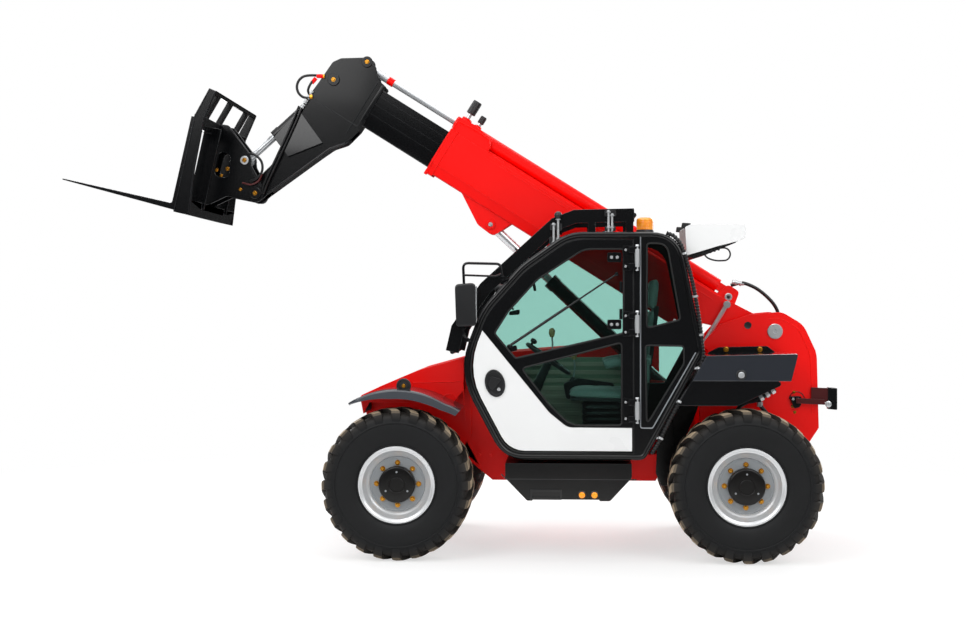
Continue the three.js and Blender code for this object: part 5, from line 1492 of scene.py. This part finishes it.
def carriage_details():
    caps, silver, gold = blanks(3)
    for hand in (1, -1):
        y = BOOM_Y + hand * 107
        pin_end(caps, gold, at(3424, y, 2506), hand, 42, 12, 9)
        pin_end(silver, gold, at(3503, BOOM_Y + hand * 101.5, 2745), hand, 31, 12, 9)
    for x, z, r in ((3627, 2684, 11), (3705, 2675, 9), (3672, 2635, 9), (3786, 2647, 10), (3532, 2534, 9)):
        hex_bolt(gold if r != 10 else silver, r, 10, at(x, EAR_FACE + 0.5, z))
    piece("carriage_pin_caps", caps, SATIN_BLACK, "fork_carriage")
    piece("carriage_washers", silver, SILVER_BOLT, "fork_carriage")
    piece("carriage_bolts", gold, BRASS, "fork_carriage")
    seams = bmesh.new()
    for y in (BOOM_Y + 651, BOOM_Y - 651):
        line = flat([(398, -250), (398, 408), (340, 606)], y, on_carriage)
        sweep(seams, line, 3.5, 8)
        line = flat([(300, -250), (328, 60), (338, 405), (300, 598)], y, on_carriage)
        sweep(seams, line, 3.5, 8)
    for side in (1, -1):
        y = BOOM_Y + side * 101.5
        line = flat([(-30, 52), (78, 180), (104, 262), (296, 424)], y, on_carriage)
        sweep(seams, smooth_line(line, 6), 3, 8)
    piece("carriage_edges", seams, GUSSET_BLACK, "fork_carriage", weighted=False)


for part in ("carriage", "left_fork", "right_fork"):
    dressed(part, SATIN_BLACK, 5)
carriage_details()


# ------------ mirror
# A black moulded mirror head with a softly rounded back. Two bent tubes hold it out from the
# cab's front post, and a short arm steadies its foot.
MIRROR_Y = CAB_OUTER + 30


def mirror():
    head, face, tubes = blanks(3)
    prism(head, rounded([(1768, 1558, 26), (1902, 1550, 26), (1912, 1832, 30), (1776, 1842, 30)]),
        MIRROR_Y - 22, MIRROR_Y + 30)
    softened(head, 15, 4)
    finished("mirror_head", head, BLACK_PLASTIC, replaced=["mirror"], weighted=False)
    glass = [(1769.5, y, z) for y, z in ((MIRROR_Y - 14, 1580), (MIRROR_Y + 22, 1580),
        (MIRROR_Y + 22, 1818), (MIRROR_Y - 14, 1818))]
    low = [face.verts.new(at(x - 3, y, z)) for x, y, z in glass]
    high = [face.verts.new(at(x + 4, y, z)) for x, y, z in glass]
    face.faces.new(low)
    face.faces.new(high)
    joined(face, [low, high])
    piece("mirror_glass", face, CHROME)

    def bent(points, radius=9):
        corners = rounded([(x, z, 0 if k in (0, len(points) - 1) else 34) for k, (x,
            z) in enumerate(points)], 6)
        sweep(tubes, flat(corners, MIRROR_Y - 2), radius, 12)

    bent([(1852, 1835), (1858, 1972), (1612, 1966), (1594, 1872)])
    bent([(1856, 1885), (1846, 1892), (1640, 1884), (1606, 1900)], 7)
    bent([(1862, 1560), (1852, 1500), (1834, 1465)], 8)
    for x, z in ((1594, 1872), (1834, 1465)):
        sweep(tubes, [at(x, MIRROR_Y - 2, z), at(x - 34, CAB_OUTER - 8, z - 8)], 11, 12)
        lathe(tubes, [(0, -13), (17, -13), (17, 13), (0, 13)], at(x, MIRROR_Y - 2, z), (0, 0, 1), 20)
    piece("mirror_tubes", tubes, BLACK_PAINT, weighted=False)


mirror()


# ------------ seat
# A suspended driver's seat in dark vinyl: crowned cushions with sewn channels over a black
# shell. Its rubber bellows hide the suspension.


# Dark grey-green seat vinyl with fine leather grain, paler where it is rubbed.
VINYL = grained("seat_vinyl", "seat_vinyl", ("5a6663", "808f8b"), (7.0, 4.0), 260.0, (0.3, 0.0006),
    cells=True, Roughness=0.42, Sheen_Weight=0.2)


def cushion(name, middle, along, up, half, channels, replaced=()):
    """A crowned pad whose sides pull in between its corners, with channels sewn across it."""
    along, up = Vector(along).normalized(), Vector(up).normalized()
    length, width, thick = half
    bm = bmesh.new()
    count = 36
    sheets = []
    for face in (1, -1):
        rows = []
        for i in range(count + 1):
            row = []
            for j in range(count + 1):
                u = sin(pi / 2 * (2 * i / count - 1))
                v = sin(pi / 2 * (2 * j / count - 1))
                crown = max(0.0, (1 - abs(u) ** 5) * (1 - abs(v) ** 5)) ** 0.42
                height = thick * crown * (1.0 if face > 0 else 0.55)
                if face > 0:
                    height -= sum(thick * 0.16 * 2.7183 ** -(((u - c) / 0.035) ** 2) * crown
                        for c in channels)
                    height -= thick * 0.14 * crown * 2.7183 ** -(((abs(v) - 0.62) / 0.03) ** 2)
                pull = 1 - 0.05 * (1 - u * u), 1 - 0.035 * (1 - v * v)
                spot = middle + along * (u * length * pull[1] / 1000) + up * (height * face
                    / 1000) + Vector((0, v * width * pull[0] / 1000, 0))
                row.append(bm.verts.new(spot))
            rows.append(row)
        sheets.append(rows)
        for i in range(count):
            for j in range(count):
                bm.faces.new((rows[i][j], rows[i + 1][j], rows[i + 1][j + 1], rows[i][j + 1]))
    bmesh.ops.remove_doubles(bm, verts=bm.verts, dist=1e-5)
    bmesh.ops.recalc_face_normals(bm, faces=bm.faces)
    pad = finished(name, bm, VINYL, replaced=replaced, crease=70, weighted=False)


def seat():
    back_up = Vector((-62, 0, 640)).normalized()
    back_out = Vector((back_up.z, 0, -back_up.x))
    cushion("seat_cushion", at(905, 530, 1092), (1, 0, 0.03), (0, 0, 1), (252, 205, 52), (-0.2, 0.3),
        ["seat"])
    cushion("seat_back", at(628, 530, 1400), back_up, back_out, (255, 195, 52), (-0.45, 0.0, 0.45))
    cushion("seat_head", at(588, 530, 1768), back_up, back_out, (98, 130, 46), ())
    shell, rails = blanks(2)
    prism(shell, rounded([(640, 1040, 30), (1150, 1058, 20), (1150, 1076, 8), (662, 1074, 20),
        (592, 1690, 20), (560, 1690, 20)]), 345, 715)
    for y in (480, 580):
        sweep(rails, flat([(588, 1620), (574, 1790)], y), 7, 10)
    for y, hand in ((745, 1), (312, -1)):
        arm = smooth_line(flat([(618, 1330), (700, 1332), (840, 1318), (925, 1300)], y), 6)
        sweep(rails, arm, [30, 31] + [32] * (len(arm) - 4) + [30, 24], 14)
        sweep(rails, [at(640, y, 1330), at(640, y - hand * 30, 1180)], 14, 10)
    finished("seat_shell", softened(shell, 8, 3), BLACK_PLASTIC)
    piece("seat_arms", rails, VINYL, weighted=False)


def bellows():
    """A stack of rubber folds between the floor plate and the seat."""
    bm = bmesh.new()
    rings = []
    levels = [(702, 0), (722, 0), (722, 14)]
    for k in range(7):
        z = 736 + 43 * k
        levels += [(z, 34), (z + 10, 4), (z + 24, 0), (z + 34, 6)]
    levels += [(1037, 30), (1039, 10)]
    for z, inset in levels:
        outline = box_line(722 + inset, 1072 - inset, 372 + inset, 692 - inset, 40)
        rings.append([bm.verts.new(at(x, y, z)) for x, y in outline])
    joined(bm, rings, True)
    piece("seat_bellows", bm, HOSE_RUBBER, replaced=["seat_base"], crease=50, weighted=False)


seat()
bellows()


# ------------ controls and lining
# A steering wheel on a raked column, a lever with a tan knob, a dashboard hood and a ribbed
# side lining, all in dark mouldings.
TAN_KNOB = coated("tan_knob_plastic", "a88a5e", 0.35, dust=0.02)
LINING = coated("brown_grey_lining", "a89e8e", 0.5, dust=0.05, grain=240, depth=0.06)


def steering():
    wheel, boot = blanks(2)
    hub = at(1300, 530, 1330)
    turn = Matrix.Rotation(radians(-35), 3, "Y")
    rim = [hub + turn @ Vector((0.170 * cos(a), 0.170 * sin(a), 0)) for a in (2 * pi * k / 48
        for k in range(48))]
    sweep(wheel, rim, 14.5, 14, closed=True)
    for a in (0.5, 2.6, 4.7):
        sweep(wheel, [hub + turn @ Vector((0, 0, -0.006)), hub + turn @ Vector((0.166 * cos(a),
            0.166 * sin(a), 0))], 9, 10)
    lathe(wheel, [(0, -22), (34, -22), (40, -6), (36, 8), (20, 13), (0, 14)], hub, turn @ Vector((0, 0, 1)),
        32)
    knob = hub + turn @ Vector((0.150, 0.08, 0.0))
    lathe(wheel, [(0, 0), (9, 0), (9, 26), (20, 32), (24, 44), (20, 56), (0, 62)], knob,
        turn @ Vector((0, 0, 1)), 24)
    line = smooth_line(flat([(1292, 1322), (1340, 1222), (1400, 1090), (1442, 960)], 530), 6)
    sweep(boot, line, [26 + 34 * (k / len(line)) ** 2 + (3 if k % 2 else 0) for k in range(len(line))], 18)
    prism(boot, rounded([(1392, 704, 10), (1500, 704, 10), (1500, 1060, 40), (1420, 1078, 40),
        (1392, 1010, 20)]), 432, 628)
    piece("steering_wheel", wheel, BLACK_PLASTIC, replaced=["steering_column"], weighted=False)
    piece("column_boot", boot, BLACK_PLASTIC)


def controls():
    dash, lever, knob, gear = blanks(4)
    prism(dash, rounded([(1500, 1150, 30), (1560, 1262, 30), (1690, 1262, 30), (1700, 1150, 20),
        (1560, 920, 20), (1500, 920, 20)]), 260, 740)
    prism(dash, rounded([(860, 1040, 30), (1180, 1040, 30), (1200, 1150, 30), (1100, 1185, 30),
        (840, 1150, 30)]), 195, 285)
    finished("dashboard", softened(dash, 10, 3), BLACK_PLASTIC)
    for x, y, low, high in ((1277, 480, 1330, 1490), (1125, 240, 1170, 1330)):
        sweep(lever, smooth_line([at(x + 8, y, low), at(x - 4, y, (low + high) / 2), at(x, y, high)], 5), 6,
            10)
        lathe(knob, [(0, -10), (12, -8), (17, 4), (22, 22), (21, 40), (13, 52), (0, 56)],
            at(x, y, high - 6), (0, 0, 1), 24)
        ring = [(6, 0)] + [(26 - 3 * k + (2 if k % 2 else 0), 5 * k) for k in range(6)] + [(6, 30)]
        lathe(gear, ring, at(x + 8, y, low - 4), (0, 0, 1), 24, closed=True)
    piece("lever_rods", lever, SILVER_BOLT, weighted=False)
    piece("lever_knobs", knob, TAN_KNOB)
    piece("lever_boots", gear, HOSE_RUBBER)
    mirror_bm = bmesh.new()
    prism(mirror_bm, rounded([(1490, 1668, 14), (1560, 1652, 14), (1566, 1626, 14), (1496, 1630, 14)]), 560,
        680)
    softened(mirror_bm, 6, 3)
    sweep(mirror_bm, flat([(1535, 1662), (1560, 1720)], 640), 6, 8)
    prism(mirror_bm, rounded([(1392, 1858, 4), (1410, 1852, 4), (1398, 1790, 4), (1380, 1792, 4)]), 560,
        640)
    piece("inner_mirror", mirror_bm, BLACK_PLASTIC)


def climbing(tree, inputs):
    """Copies of the source in a straight row, one pitch apart."""
    row = node(tree, "GeometryNodeMeshLine", {"Count": inputs["Count"], "Offset": inputs["Pitch"]})
    copies = node(tree, "GeometryNodeInstanceOnPoints", {"Points": row.outputs[0], "Instance": inputs[
        "Geometry"]})
    return copies.outputs[0]


def repeated(name, bm, count, pitch, material, body):
    """A row of equal pieces, such as ribs or louvres, grown from its first one."""
    facing_out(bm)
    tree = tree_of(name + "_row", {"Count": ("Int", 3), "Pitch": ("Vector", (0, 0, 0))}, material, climbing)
    mesh = grown(meshed(bm, name), tree, count=count, pitch=[p / 1000 for p in pitch])
    for face in mesh.polygons:
        face.use_smooth = False
    return settled(name, mesh, material, body)


def lining():
    rib = bmesh.new()
    prism(rib, [(790, 745), (1480, 745), (1480, 775), (790, 775)], 189, 204)
    softened(rib, 5, 3)
    repeated("lining_ribs", rib, 10, (0, 0, 58), LINING, "chassis")
    back = bmesh.new()
    prism(back, rounded([(760, 712, 20), (1500, 712, 60), (1640, 960, 30), (1660, 1330, 30),
        (760, 1330, 20)]), 180, 190)
    finished("lining_panel", softened(back, 3), LINING)


steering()
controls()
lining()


# ------------ engine pod
# The red engine pod on the right: a hood hinged at its rear over a box with louvred sides. The
# louvres are pressed slots, and gold bolts hold the lower panel.
for part in ("engine_cover", "engine_hood"):
    dressed(part, RED_PAINT, 8)
CAST_GREY = coated("cast_iron_grey", "33363a", 0.55, dust=0.5, grain=90, depth=0.4)
dressed("engine_block", CAST_GREY, 6)
POD_FACE = -880


def pod_details():
    x = 760
    for name, z, body in (("hood_louvres", 1235, "hood"), ("cover_louvres", 900, "chassis")):
        slat = bmesh.new()
        prism(slat, box_line(x, x + 30, z, z + 92, 6), POD_FACE, POD_FACE - 9)
        softened(slat, 4, 2)
        prism(slat, [(x + 8, z + 10), (x + 15, z + 10), (x + 15, z + 82), (x + 8, z + 82)], POD_FACE - 8,
            POD_FACE - 9.6)
        repeated(name, slat, 14, (56, 0, 0), RED_PAINT, body)
    bolts, latch = blanks(2)
    for x, z in ((600, 1130), (1060, 1150), (1600, 1150), (690, 720), (1500, 600), (900, 560)):
        hex_bolt(bolts, 9, 9, at(x, POD_FACE, z), (0, -1, 0))
    prism(latch, box_line(1560, 1630, 1190, 1225, 10), POD_FACE, POD_FACE - 14)
    piece("pod_bolts", bolts, BRASS)
    finished("hood_latch", softened(latch, 3), BLACK_PLASTIC, "hood")


pod_details()


# ------------ axles and knuckles
# Cast iron axle beams, with forged knuckles at their ends. They are sprayed dark grey and keep
# the rough skin of the casting.
for part in ("front_axle", "rear_axle"):
    dressed(part, CAST_GREY, 5)
for corner in WHEEL_PLACES:
    dressed(corner + "_knuckle", CAST_GREY, 3)


def axle_details():
    casing, bolts = blanks(2)
    for x in (0, FRONT_AXLE_X):
        side = 1 if x else -1
        lathe(casing, [(0, -150), (60, -150), (112, -108), (150, -60), (160, 0), (150, 60), (112, 108),
            (60, 150), (0, 150)], at(x, 0, 505), (0, 1, 0), 40)
        lathe(casing, [(0, 0), (96, 0), (104, 60), (76, 130), (48, 190), (44, 230), (0, 230)],
            at(x - side * 60, 0, 505), (-side, 0, 0), 36)
        for k in range(10):
            a = 2 * pi * k / 10
            hex_bolt(bolts, 9, 9, at(x + side * 120, 118 * cos(a) * 0.8, 505 + 118 * sin(a) * 0.8),
                (side, 0, 0))
    piece("axle_casings", casing, CAST_GREY)
    piece("axle_bolts", bolts, SILVER_BOLT)


axle_details()
